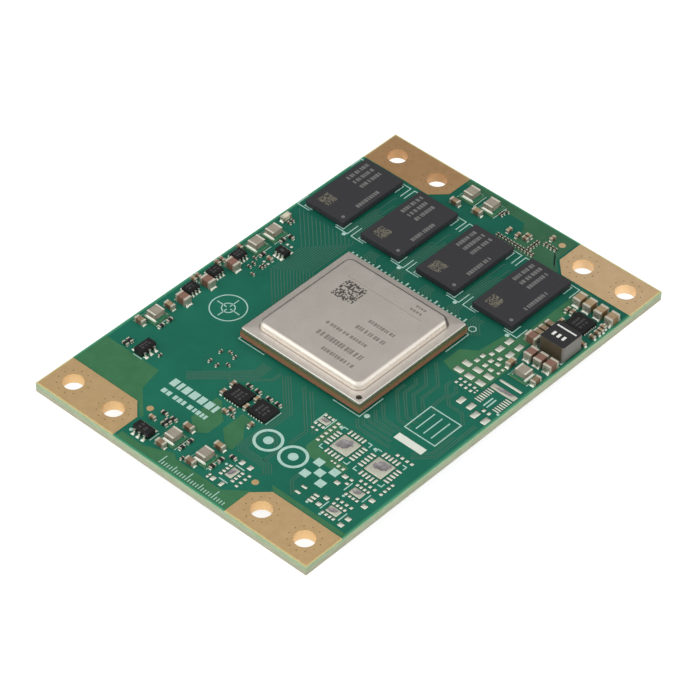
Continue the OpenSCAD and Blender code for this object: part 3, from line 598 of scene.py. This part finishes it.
class Sheet:
    """Thin raised shapes between two heights over the board, gathered into one piece."""

    def __init__(self, low, high):
        self.low = TOP + low * MM
        self.high = TOP + high * MM
        self.points = []
        self.faces = []

    def add_prism(self, outline):
        """Any plain outline, counter-clockwise, with a top and side walls."""
        first, count = len(self.points), len(outline)
        self.points += [(x * MM, y * MM, self.high) for x, y in outline]
        self.points += [(x * MM, y * MM, self.low) for x, y in outline]
        self.faces.append([first + i for i in range(count)])
        for i in range(count):
            j = (i + 1) % count
            self.faces.append([first + j, first + i, first + count + i, first + count + j])

    def bar(self, x0, y0, x1, y1):
        x0, x1 = sorted((x0, x1))
        y0, y1 = sorted((y0, y1))
        self.add_prism([(x0, y0), (x1, y0), (x1, y1), (x0, y1)])

    def disc(self, x, y, radius, corners=24):
        self.add_prism(circle(x, y, radius, corners))

    def path(self, corners, width, closed=False):
        """A line of even width through the corners, mitred where it turns."""
        sides = []
        for here, left, share in mitres(corners, closed):
            across = left * (width / 2 / max(0.3, share))
            sides.append((here + across, here - across))
        count = len(sides)
        for i in range(count if closed else count - 1):
            j = (i + 1) % count
            self.add_prism([sides[i][1], sides[j][1], sides[j][0], sides[i][0]])

    def ring(self, x, y, radius, width, corners=48):
        self.path(circle(x, y, radius, corners), width, True)

    def build(self, name, material):
        add_piece(name, new_mesh(name, self.points, self.faces, material))


# Copper under the lacquer


def lay_pours():
    """Wide copper areas that show as paler green."""
    sheet = Sheet(0.0, POUR_HEIGHT)
    outlines = [
        [(-30.7, 25.7), (-30.7, 12.9), (-32.9, 10.4), (-32.3, 10.3), (-28.3, 14.4), (-24.25, 15.2),
         (-24.25, 25.7)],
        [(-37.6, 10.3), (-37.6, -10.8), (-32.6, -10.8), (-35.3, -7.6), (-35.3, 1.0), (-34.6, 2.0),
         (-36.5, 6.2), (-36.5, 10.3)],
        [(-29.8, 2.9), (-28.6, 1.35), (-25.4, 1.4), (-24.2, 2.9), (-22.6, 4.4), (-22.6, 5.4),
         (-27.9, 5.3)],
        [(-29.2, -2.6), (-28.5, -3.3), (-26.0, -3.0), (-24.4, -1.6), (-22.5, -1.2), (-22.5, 0.5),
         (-26.5, 0.5)],
        [(-22.3, -11.5), (-21.9, -17.5), (-20.2, -17.5), (-20.1, -11.3), (-14.4, -11.3),
         (-14.4, -9.9), (-21.0, -10.2)],
        [(-30.6, -13.0), (-30.6, -25.7), (-29.8, -25.7), (-29.8, -12.0)],
        [(4.4, -14.4), (4.4, -20.5), (10.0, -20.6), (15.5, -19.2), (15.5, -15.6), (10.1, -14.9),
         (8.5, -12.7), (5.0, -12.7)],
        [(15.5, -17.3), (15.5, -19.2), (19.6, -20.4), (22.5, -19.2), (30.3, -19.2), (30.3, -17.3)],
    ]
    for outline in outlines:
        sheet.add_prism(outline)
    sheet.build("copper_pours", pour)
    right = Sheet(0.0, POUR_HEIGHT)
    right.add_prism(
        [(37.75, -10.4), (37.75, 10.6), (36.6, 10.6), (36.6, 3.0), (35.8, 1.6), (35.8, -1.6),
         (34.4, -2.6), (30.2, -2.8), (30.2, -12.2), (31.0, -12.2), (32.8, -10.4)]
    )
    right.build("right_copper_pour", right_pour)


def offset_line(corners, shift):
    """The same bent line moved sideways, to its left if the shift is positive."""
    return [here + left * (shift / share) for here, left, share in mitres(corners)]


def lay_traces():
    """Thin copper lines, most of them in bundles of even pitch."""
    sheet = Sheet(0.0, 0.014)
    width = 0.15

    def bundle(corners, count, pitch):
        for i in range(count):
            sheet.path(offset_line(corners, pitch * i), width)

    for i in range(14):
        y = 18.6 - 0.38 * i
        left, right = 2.4 + 0.28 * i, 9.0 + 0.45 * i
        sheet.path(
            [(left - y + 12.7, 12.7), (left, y), (right, y), (15.2, y + 15.2 - right)], width
        )
    for corners in (
        [(-13.2, -18.8), (-13.2, -13.0), (-12.0, -11.8)],
        [(-12.2, -18.2), (-12.2, -13.2), (-11.4, -12.4)],
        [(-11.2, -17.4), (-11.2, -13.4), (-10.2, -12.4)],
        [(-10.4, -17.4), (-10.4, -13.9), (-9.0, -12.5)],
        [(-9.5, -17.8), (-9.5, -14.6), (-7.2, -12.3)],
        [(-8.2, -18.4), (-8.2, -16.2), (-4.1, -12.1), (-2.4, -12.1)],
        [(-7.0, -18.4), (-7.0, -16.6), (-3.6, -13.2), (-1.2, -13.2), (-0.2, -12.2)],
        [(-5.7, -18.2), (-5.7, -17.0), (-3.1, -14.4), (-0.3, -14.4), (2.2, -11.9)],
        [(-4.6, -17.6), (-2.7, -15.7), (0.7, -15.7), (4.2, -12.2)],
        [(-3.6, -18.7), (-2.7, -17.8), (0.2, -17.8), (1.4, -16.6), (2.6, -16.4)],
        [(-9.0, -23.3), (-2.7, -23.3), (-1.1, -21.7), (-1.1, -19.3), (-0.2, -18.4),
         (1.5, -18.4), (2.5, -17.4)],
        [(-12.4, -21.9), (-10.2, -24.1), (-5.6, -24.1)],
        [(-13.0, -22.4), (-10.5, -24.9), (-2.0, -24.9)],
    ):
        bundle(corners, 2, 0.34)
    bundle([(-22.9, 11.2), (-15.6, 3.9), (-12.9, 3.9)], 6, 0.3)
    bundle([(-19.2, 6.6), (-14.6, 2.0), (-12.9, 2.0)], 2, 0.34)
    bundle(
        [(-13.1, 1.7), (-18.1, -3.3), (-27.4, -3.3), (-28.2, -4.1), (-28.2, -8.8), (-29.2, -9.8)],
        4, 0.38,
    )
    bundle([(-12.7, -1.8), (-19.0, -8.1), (-22.4, -8.1)], 2, 0.38)
    bundle([(-12.7, -3.2), (-18.8, -9.3)], 2, 0.38)
    bundle([(-21.8, -4.8), (-24.8, -7.8), (-27.2, -7.8)], 2, 0.38)
    bundle([(-29.4, -15.2), (-27.4, -13.2), (-25.2, -13.2)], 2, -0.36)
    bundle([(12.6, -13.0), (14.2, -11.4), (15.3, -11.4)], 5, 0.4)
    for i in range(4):
        y = 10.6 - 5.4 * i
        bundle([(12.7, y - 1.2), (13.9, y), (15.6, y)], 5, -0.38)
    chance = random.Random(8)
    for number in range(1, 4):
        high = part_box(f"memory_chip_{number}")[0].y / MM
        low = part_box(f"memory_chip_{number + 1}")[1].y / MM
        lines = int((high - low - 0.4) / 0.36)
        for i in range(lines):
            y = low + 0.35 + 0.36 * i
            end = chance.uniform(22.0, 27.0)
            sheet.path([(16.3, y), (end - 0.3, y), (end, y - 0.3)], width)
    for i in range(7):
        x = 30.5 + 0.42 * i
        sheet.path([(x, -11.9 + 0.3 * i), (x + 1.6, -10.3 + 0.3 * i)], width)
    sheet.build("copper_traces", trace)


# Printing on the board


def print_board():
    """Corner brackets, ticks, dots and short lines round the parts."""
    sheet = Sheet(0.0, INK_HEIGHT)
    line = 0.17

    def bracket(x, y, arm_x, arm_y, width=line):
        """Two arms meeting square at a corner."""
        sheet.path([(x + arm_x, y), (x, y), (x, y + arm_y)], width)

    corner, arm = 11.65, 5.0
    for side_x, side_y in QUARTERS:
        bracket(side_x * corner, side_y * corner, -side_x * arm, -side_y * arm, 0.15)
    for i in range(28):
        y = 12.3 - 0.8 * i
        sheet.bar(12.7, y - 0.13, 13.95 if i % 7 == 6 else 13.5, y + 0.13)
    sheet.ring(12.9, -11.3, 0.55, 0.16, 24)
    sheet.disc(-10.85, -12.35, 0.42)

    for low, high in ((15.75, 25.8), (4.75, 15.0), (-6.1, 4.1), (-17.1, -6.85)):
        for x, y, side_x, side_y in (
            (15.85, low, 1, 1), (30.0, low, -1, 1), (15.85, high, 1, -1), (30.0, high, -1, -1),
        ):
            bracket(x, y, side_x * 2.4, side_y * 2.4, 0.16)
            bracket(x + side_x * 0.4, y + side_y * 1.15, side_x * 1.9, side_y * 1.5, 0.16)
    for x, y in ((15.5, 16.1), (15.5, 5.2), (15.5, -5.7), (15.35, -15.75)):
        sheet.disc(x, y, 0.34)

    sheet.bar(-24.37, 18.6, -24.2, 20.3)
    sheet.disc(-35.4, 9.6, 0.3)
    sheet.bar(-35.2, 6.15, -33.3, 6.32)
    for x in (-33.8, -30.46):
        sheet.bar(x - 0.085, -7.4, x + 0.085, -5.8)
    for x, y in ((-31.2, -4.7), (-29.4, -20.55), (-24.65, -20.55), (-28.9, -17.7), (2.0, -25.47)):
        sheet.disc(x, y, 0.22, 16)
    for x in (-27.7, -22.9):
        for y in (-19.83, -23.2):
            sheet.bar(x - 0.9, y - 0.085, x + 0.9, y + 0.085)
    for middle_y in (-14.17, -20.54):
        for side_x, side_y in QUARTERS:
            x, y = -17.24 + side_x * 2.6, middle_y + side_y * 2.6
            bracket(x, y, -side_x * 0.7, -side_y * 0.7)
        sheet.disc(-14.95, middle_y + 2.9, 0.28, 16)
    sheet.bar(-21.85, -3.33, -18.6, -3.2)
    for y in (-7.85, -9.8):
        sheet.bar(-16.9, y - 0.085, -14.3, y + 0.085)
    for y in (-22.8, -23.37):
        sheet.bar(2.0, y - 0.11, 4.07, y + 0.11)
    bracket(15.95, -25.3, 0.9, 0.9)
    for lump in islands("module_boards"):
        low, high = extents(lump)
        for y in (low.y - 0.2, high.y + 0.2):
            sheet.bar(low.x, y - 0.07, high.x, y + 0.07)

    print_plain_marks(sheet)
    sheet.build("board_printing", ink)
    label = Sheet(0.0, INK_HEIGHT)
    label.bar(-11.43, -22.93, -10.14, -17.86)
    label.build("label_field", label_white)


def print_plain_marks(sheet):
    """Plain shapes on the free fields of the board: blocks, rings, squares and a scale."""
    greek_line(sheet, -25.2, 3.6, -23.75, 12.6, 31, True, 2.6)
    greek_line(sheet, -27.05, 3.6, -26.2, 12.2, 32, True, 1.7)
    for i in range(25):
        y = 2.3 - 0.5 * i
        reach = 1.7 if i % 10 == 0 else 1.15 if i % 5 == 0 else 0.7
        sheet.bar(-37.4, y - 0.07, -37.4 + reach, y + 0.07)
    sheet.ring(-8.0, 17.2, 2.78, 0.18)
    sheet.ring(-8.0, 17.2, 1.0, 0.16, 32)
    for reach_x, reach_y in ((1, 0), (-1, 0), (0, 1), (0, -1)):
        sheet.path(
            [
                (-8.0 + 0.35 * reach_x, 17.2 + 0.35 * reach_y),
                (-8.0 + 2.2 * reach_x, 17.2 + 2.2 * reach_y),
            ],
            0.16,
        )
    for y in (-5.7, -10.4):
        sheet.ring(-23.85, y, 2.0, 0.45)
        sheet.disc(-23.85, y, 0.75)
    for i in range(3):
        for j in range(3):
            if (i + j) % 2 == 0:
                x, y = -25.7 + 1.45 * i, -17.3 + 1.45 * j
                sheet.bar(x, y, x + 1.3, y + 1.3)
    sheet.path([(-8.8, -17.6), (-8.8, -23.2), (-3.2, -23.2), (-3.2, -17.6)], 0.18, True)
    for y in (-19.0, -20.4, -21.8):
        sheet.bar(-8.0, y - 0.09, -4.0, y + 0.09)


# Marks on the parts


def greek_line(sheet, x0, y0, x1, y1, seed, upright=False, size=1.0):
    """A line of plain blocks of uneven length, running along X, or along Y if upright."""
    chance = random.Random(seed)
    low, high = (y0, y1) if upright else (x0, x1)
    place = low
    while place < high - 0.2 * size:
        length = chance.uniform(0.22, 0.5) * size
        end = min(high, place + length)
        if upright:
            sheet.bar(x0, place, x1, end)
        else:
            sheet.bar(place, y0, end, y1)
        place = end + chance.choice((0.12, 0.12, 0.16, 0.34)) * size


def code_square(sheet, x, y, side, cells, seed):
    """A square field of chance cells."""
    chance = random.Random(seed)
    cell = side / cells
    for i in range(cells):
        for j in range(cells):
            if chance.random() < 0.55:
                left, low = x - side / 2 + i * cell, y - side / 2 + j * cell
                sheet.bar(left, low, left + cell * 0.98, low + cell * 0.98)


def print_lid():
    """A square of cells and lines of blocks on the lid."""
    height = (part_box("processor_lid")[1].z - TOP) / MM
    code = Sheet(height, height + MARK_HEIGHT)
    code_square(code, 3.85, 4.45, 3.9, 18, 5)
    code.build("lid_code", dark_print)
    sheet = Sheet(height, height + MARK_HEIGHT)
    lines = [
        (-7.8, -6.5, -7.1, -0.6), (-5.8, -6.3, -4.8, 2.2), (-3.3, -5.0, -2.7, 2.8),
        (-1.2, -6.5, -0.4, -1.0), (0.95, -6.5, 1.6, -1.7), (7.1, -6.3, 7.5, -4.2),
        (8.1, -6.3, 8.5, -4.2),
    ]
    for seed, (x0, y0, x1, y1) in enumerate(lines):
        greek_line(sheet, x0, y0, x1, y1, seed, True)
    sheet.bar(6.27, -7.2, 6.33, 7.0)
    sheet.build("lid_marks", grey_print)


def print_memory():
    """A square of cells, a dot and lines of blocks on each memory chip."""
    height = (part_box("memory_chip_1")[1].z - TOP) / MM
    sheet = Sheet(height, height + MARK_HEIGHT)
    codes = Sheet(height, height + MARK_HEIGHT)
    for number in range(1, 5):
        low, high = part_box(f"memory_chip_{number}")
        x = (low.x + high.x) / 2 / MM
        y = (low.y + high.y) / 2 / MM
        code_square(codes, x - 4.25, y + 1.55, 2.2, 14, 20 + number)
        sheet.disc(x - 5.65, y - 2.8, 0.3)
        for i, line_y in enumerate((2.6, 1.3, -0.1)):
            greek_line(
                sheet, x + 1.2, y + line_y - 0.34, x + 5.8, y + line_y + 0.34, 10 * number + i
            )
        greek_line(sheet, x - 2.6, y - 3.1, x + 2.4, y - 2.42, 10 * number + 5)
    codes.build("memory_codes", ochre_print)
    sheet.build("memory_marks", pale_print)


def print_choke():
    """A white bar and short blocks on the inductor."""
    low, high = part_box("power_inductor")
    x, y = (low.x + high.x) / 2 / MM, (low.y + high.y) / 2 / MM
    height = (high.z - TOP) / MM
    sheet = Sheet(height, height + 0.01)
    sheet.bar(x + 1.1, y - 1.75, x + 1.36, y + 1.75)
    for middle in (0.95, 0.05, -0.85):
        sheet.bar(x - 0.9, y + middle - 0.22, x - 0.05, y + middle + 0.22)
    sheet.build("choke_marks", white_print)


def print_chips():
    """Faint lines of blocks on the small chips."""
    for node, count in (("clock_chips", 3), ("regulator", 3), ("six_lead_chips", 2),
                        ("switch_chips", 2), ("gate_chip", 1)):
        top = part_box(node)[1].z
        height = (top - TOP) / MM
        sheet = Sheet(height, height + 0.003)
        for seed, lump in enumerate(islands(node)):
            low, high = extents(lump)
            reach_x, reach_y = (high.x - low.x) * 0.3, (high.y - low.y) * 0.3
            x, y = (low.x + high.x) / 2, (low.y + high.y) / 2
            step = 2 * reach_y / count
            for i in range(count):
                line_y = y - reach_y + step * (i + 0.5)
                greek_line(
                    sheet, x - reach_x, line_y - step * 0.28, x + reach_x, line_y + step * 0.28,
                    seed + 7 * i,
                )
        sheet.build(node + "_marks", faint_print)


# Plating, solder and the lid


def islands(node):
    """The points of each separate lump of a solid."""
    mesh = nodes[node].data
    keys = [tuple(round(c / MM, 4) for c in v.co) for v in mesh.vertices]
    parent = {key: key for key in keys}

    def root(key):
        while parent[key] != key:
            parent[key] = parent[parent[key]]
            key = parent[key]
        return key

    for face in mesh.polygons:
        first = root(keys[face.vertices[0]])
        for index in face.vertices[1:]:
            parent[root(keys[index])] = first
    lumps = {}
    for key in parent:
        lumps.setdefault(root(key), []).append(Vector(key))
    return list(lumps.values())


def extents(points):
    """The two far corners of the box round some points."""
    low = Vector([min(p[i] for p in points) for i in range(3)])
    high = Vector([max(p[i] for p in points) for i in range(3)])
    return low, high


def smooth_mesh(name, points, faces, material):
    mesh = new_mesh(name, points, faces, material)
    mesh.shade_smooth()
    return mesh


def add_grid(points, faces, steps, middle, half, level):
    """A net over a rectangle, as high at each point as level(u, v), with u and v from -1 to 1."""
    first = len(points)
    for i in range(steps + 1):
        for j in range(steps + 1):
            u = math.sin((i / steps - 0.5) * math.pi)
            v = math.sin((j / steps - 0.5) * math.pi)
            x, y = middle.x + u * half.x, middle.y + v * half.y
            points.append((x * MM, y * MM, level(u, v) * MM))
    for i in range(steps):
        for j in range(steps):
            a = first + i * (steps + 1) + j
            faces.append([a, a + steps + 1, a + steps + 2, a + 1])


def swell_pads():
    """Each bare pad, in its opening in the lacquer, with the swell that the molten tin leaves."""
    pad_height, opening = 0.045, 0.05
    points, faces, thin, wide = [], [], [], []
    outlines = Sheet(0.0, 0.016)
    chance = random.Random(3)
    for lump in islands("bare_pads"):
        low, high = extents(lump)
        middle, half = (low + high) / 2, (high - low) / 2
        narrow = min(half.x, half.y)
        large = narrow > 0.5
        rise = 0.03 + 0.05 * narrow if large else 0.04 + 0.08 * narrow
        dent = 0.9 if large else 0.0
        lean_x, lean_y = chance.uniform(-0.35, 0.35), chance.uniform(-0.35, 0.35)

        def hollow(u, v):
            """How far the tin has drawn away from a spot of a large pad."""
            across = (u - v) / 1.41 - lean_x
            away = (u + v) / 1.41 - 0.15 - 0.5 * lean_y * across
            ragged = 1 + 0.3 * math.sin(6 * across + 20 * lean_x) * math.cos(7 * away + 20 * lean_y)
            return dent * ragged * math.exp(-(across**2) / 0.6 - away**2 / 0.27)

        def level(u, v):
            wall = (1 - abs(u) ** 30) * (1 - abs(v) ** 30)
            swell = (1 - u * u) * (1 - v * v) * (1 + lean_x * u + lean_y * v)
            return low.z + pad_height * wall + rise * swell * (1 - hollow(u, v))

        first = len(faces)
        add_grid(points, faces, 24 if large else 8, middle, half, level)
        # The hollows get the darker tin: thinner tin there, and a painted dark reflection.
        if large:
            for index in range(first, len(faces)):
                start, end = (Vector(points[faces[index][k]]) for k in (0, 2))
                x, y = ((start + end) / 2 / MM).xy
                drawn = hollow((x - middle.x) / half.x, (y - middle.y) / half.y) > 0.3
                (thin if drawn else wide).append(index)
        outlines.bar(low.x - opening, low.y - opening, high.x + opening, high.y + opening)
    outlines.build("mask_openings", bare_laminate)
    mesh = smooth_mesh("swelled_pads", points, faces, pad_tin)
    for number, (material, spots) in enumerate(((hollow_tin_painted_dark, thin), (wide_tin, wide)), 1):
        mesh.materials.append(material)
        for index in spots:
            mesh.polygons[index].material_index = number
    piece = add_piece("swelled_pads", mesh)
    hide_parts("bare_pads")


def round_leads(node):
    """The solder leads of a flat chip as soft pillows."""
    points, faces = [], []
    for lump in islands(node):
        low, high = extents(lump)
        middle, half = (low + high) / 2, (high - low) / 2

        def level(u, v):
            return low.z + (high.z - low.z) * (1 - abs(u) ** 3) * (1 - abs(v) ** 4)

        add_grid(points, faces, 6, middle, half, level)
    name = "round_" + node
    piece = add_piece(name, smooth_mesh(name, points, faces, tin))
    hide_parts(node)


def wet_leads():
    """A drop of solder round the foot of every bent lead."""
    drop_height, roundness = 0.24, 0.7
    points, faces = [], []
    for node, spread in (
        ("six_lead_chip_leads", 0.13), ("gate_chip_leads", 0.11), ("switch_chip_leads", 0.09),
    ):
        for lump in islands(node):
            ground = min(p.z for p in lump)
            low, high = extents([p for p in lump if p.z < ground + 0.01])
            middle, half = (low + high) / 2, (high - low) / 2 + Vector((spread, spread, 0))

            def level(u, v):
                return ground + drop_height * (1 - u * u) ** roundness * (1 - v * v) ** roundness

            add_grid(points, faces, 8, middle, half, level)
    add_piece("lead_solder", smooth_mesh("lead_solder", points, faces, tin))


def flow_joints():
    """Each solder joint as a hollow slope that climbs the end of its part."""
    points, faces = [], []
    for lump in islands("solder_joints"):
        low, high = extents(lump)
        middle, half = (low + high) / 2, (high - low) / 2
        tall = [p for p in lump if p.z > high.z - 0.01]
        lean = sum(tall, Vector()) / len(tall) - middle
        along_x = abs(lean.x / half.x) > abs(lean.y / half.y)
        side = math.copysign(1, lean.x if along_x else lean.y)
        height = high.z - low.z

        def level(u, v):
            near = (1 + side * (u if along_x else v)) / 2
            across = v if along_x else u
            slope = 0.16 + 0.84 * near**2.4
            edge = (1 - abs(across) ** 8) * min(1.0, near * 6)
            return low.z + height * slope * edge

        add_grid(points, faces, 8, middle, half, level)
    piece = add_piece("flowed_joints", smooth_mesh("flowed_joints", points, faces, tin))
    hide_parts("solder_joints")


def press_lid():
    """The pressed lid: flange with a soft rim and a vent hole, short wall, rounded shoulder."""
    low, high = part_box("processor_lid")
    half, foot, corner = LID_HALF, LID_FOOT, LID_CORNER
    flange_thick, hole_radius, hole_inset = 0.43, 0.46, 0.65 * LID_FLANGE
    flange_top = low.z / MM + flange_thick
    crown_top = high.z / MM
    wall, lean, shoulder, roundness = 0.16, 0.08, 0.66, 0.77
    foot_bend, rim_bend, rim_corner = 0.06, 0.12, 0.3
    turns, bends = 12, 8
    points, faces = [], []

    def loop(size, radius, z):
        """Points round a square with rounded corners."""
        first = len(points)
        for quarter in range(4):
            for i in range(turns + 1):
                angle = math.radians(90) * (quarter + i / turns)
                side_x, side_y = ((1, 1), (-1, 1), (-1, -1), (1, -1))[quarter]
                points.append(
                    (
                        (side_x * (size - radius) + radius * math.cos(angle)) * MM,
                        (side_y * (size - radius) + radius * math.sin(angle)) * MM,
                        z * MM,
                    )
                )
        return list(range(first, len(points)))

    def skin(lower, upper):
        """Faces between two loops."""
        count = len(lower)
        for i in range(count):
            j = (i + 1) % count
            faces.append([lower[i], lower[j], upper[j], upper[i]])

    def skin_all(loops):
        for lower, upper in zip(loops, loops[1:]):
            skin(lower, upper)

    rim = [loop(half, rim_corner, low.z / MM)]
    for i in range(bends + 1):
        angle = math.radians(90) * i / bends
        inset = rim_bend * (1 - math.cos(angle))
        rim.append(
            loop(half - inset, rim_corner - inset, flange_top - rim_bend * (1 - math.sin(angle)))
        )
    skin_all(rim)
    crown = []
    for i in range(bends + 1):
        angle = math.radians(90) * i / bends
        outset = foot_bend * (1 - math.sin(angle))
        crown.append(
            loop(foot + outset, corner + outset, flange_top + foot_bend * (1 - math.cos(angle)))
        )
    wall_top = flange_top + foot_bend + wall
    for i in range(3 * bends + 1):
        angle = math.radians(90) * i / bends / 3
        inset = lean + shoulder * (1 - math.cos(angle) ** roundness)
        z = wall_top + (crown_top - wall_top) * math.sin(angle)
        crown.append(loop(foot - inset, corner - inset, z))
    skin_all(crown)
    faces.append(crown[-1])

    hole = half - hole_inset
    upper, lower = [], []
    for ring, z in ((upper, flange_top), (lower, low.z / MM)):
        for x, y in circle(-hole, -hole, hole_radius, 32):
            ring.append(len(points))
            points.append((x * MM, y * MM, z * MM))
    skin(upper, lower)

    mesh = smooth_mesh("pressed_lid", points, faces, nickel)
    work = bmesh.new()
    work.from_mesh(mesh)
    work.verts.ensure_lookup_table()
    borders = []
    for ring in (rim[-1], crown[0], upper):
        for a, b in zip(ring, ring[1:] + ring[:1]):
            pair = (work.verts[a], work.verts[b])
            borders.append(work.edges.get(pair) or work.edges.new(pair))
    flat = bmesh.ops.triangle_fill(work, edges=borders, use_beauty=True, normal=(0, 0, 1))
    for face in flat["geom"]:
        if isinstance(face, bmesh.types.BMFace):
            face.smooth = True
    bmesh.ops.recalc_face_normals(work, faces=work.faces)
    work.to_mesh(mesh)
    work.free()
    mesh.set_sharp_from_angle(angle=math.radians(40))
    piece = add_piece("pressed_lid", mesh)
    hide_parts("processor_lid")


def ring_vias():
    """Twelve small plated holes round each mounting hole, drawn as flat discs of painted shade on
    the lands.
    """
    land_top, rim_height, reach, radius = 0.05, 0.008, 2.4, 0.11
    sheet = Sheet(land_top, land_top + rim_height)
    for x in (-34.25, 34.25):
        for y in (-22.25, -14.25, 14.25, 22.25):
            for i in range(12):
                angle = math.radians(15 + 30 * i)
                sheet.disc(x + reach * math.cos(angle), y + reach * math.sin(angle), radius, 12)
    sheet.build("land_vias", via_shadow)


lay_pours()
lay_traces()
print_board()
print_lid()
print_memory()
print_choke()
print_chips()
swell_pads()
round_leads("clock_leads")
round_leads("regulator_leads")
wet_leads()
flow_joints()
press_lid()
ring_vias()


# Camera, floor and light


def set_camera():
    """Stands where the photo was taken from, found from the board's corners and holes."""
    forward = Vector((0.548908, 0.485523, -0.680417)).normalized()
    right = Vector((0.675147, -0.737453, 0.018435))
    right = (right - forward * right.dot(forward)).normalized()
    up = right.cross(forward)
    camera = new_object("camera", bpy.data.cameras.new("camera"))
    turn = Matrix((right, up, -forward)).transposed().to_4x4()
    place = Vector((-279.149 * MM, -244.780 * MM, 343.493 * MM + TOP))
    camera.matrix_world = Matrix.Translation(place) @ turn
    sensor, focal_pixels, picture_pixels = 36.0, 3533.4, 685
    camera.data.sensor_width = sensor
    camera.data.lens = sensor * focal_pixels / picture_pixels
    camera.data.clip_start = 0.01
    camera.data.clip_end = 10.0
    bpy.context.scene.camera = camera


def lay_floor():
    """A pale table whose own glow reaches only the camera and mirrors, so shadows stay on it."""
    material, w, surface = new_material("table")
    cloud = w.group(grain, Size=60.0, Fine=0.3)["Value"]
    w.join(
        w.tones(w.fill(cloud), (170, 170, 170), (174, 174, 174)),
        surface["Base Color"],
    )
    surface["Roughness"].default_value = 0.9
    ray = w.add("ShaderNodeLightPath").outputs
    seen = w.sum("MAXIMUM", ray["Is Camera Ray"], ray["Is Glossy Ray"])
    seen = w.sum("MAXIMUM", seen, ray["Is Transmission Ray"])
    surface["Emission Color"].default_value = (1.0, 1.0, 1.0, 1.0)
    glow, reach = 0.84, 4.0
    w.join(w.sum("MULTIPLY", seen, glow), surface["Emission Strength"])
    corners = [(-reach, -reach, 0), (reach, -reach, 0), (reach, reach, 0), (-reach, reach, 0)]
    table = new_object("table", new_mesh("table", corners, [[0, 1, 2, 3]], material))


def light_room():
    """A pale room with a soft lamp left and right.

    It is brighter near the horizon and overhead, and dark behind the module.
    """
    world = bpy.data.worlds.new("room")
    bpy.context.scene.world = world
    world.use_nodes = True
    w = Wiring(world.node_tree)
    background = world.node_tree.nodes["Background"]
    sky = (0.86, 0.855, 0.84, 1.0)
    horizon = (1.2, 1.185, 1.15, 1.0)
    overhead = (1.0, 0.995, 0.98, 1.0)
    dark = (0.03, 0.029, 0.028, 1.0)
    direction = w.add("ShaderNodeTexCoord").outputs["Generated"]
    height = w.split(direction)["Z"]
    behind = w.vector("DOT_PRODUCT", direction, REAR)["Value"]
    far = w.ramp(behind, 0.1, 0.7, smooth=True)
    low = w.ramp(height, 0.36, 1.08, 1.0, 0.0, True)
    pale = w.mix(w.ramp(height, 0.15, 0.5, 1.0, 0.0, True), sky, horizon)
    pale = w.mix(w.ramp(height, 0.68, 0.95, smooth=True), pale, overhead)
    shade = w.mix(w.sum("MULTIPLY", far, low), pale, dark)
    w.join(shade, background.inputs["Color"])
    background.inputs["Strength"].default_value = 1.0

    for name, place, size, power in (
        ("left_lamp", Vector((-0.42, 0.28, 0.36)), 0.86, 1.3),
        ("right_lamp", Vector((0.34, -0.40, 0.38)), 0.72, 0.5),
    ):
        lamp = bpy.data.lights.new(name, "AREA")
        lamp.shape = "SQUARE"
        lamp.size = size
        lamp.energy = power
        holder = new_object(name, lamp)
        turn = place.to_track_quat("Z", "Y").to_matrix().to_4x4()
        holder.matrix_world = Matrix.Translation(place) @ turn


def set_picture():
    """Shows the colours as they are, with no film look over them."""
    bpy.context.scene.view_settings.view_transform = "Standard"


set_camera()
lay_floor()
light_room()
set_picture()
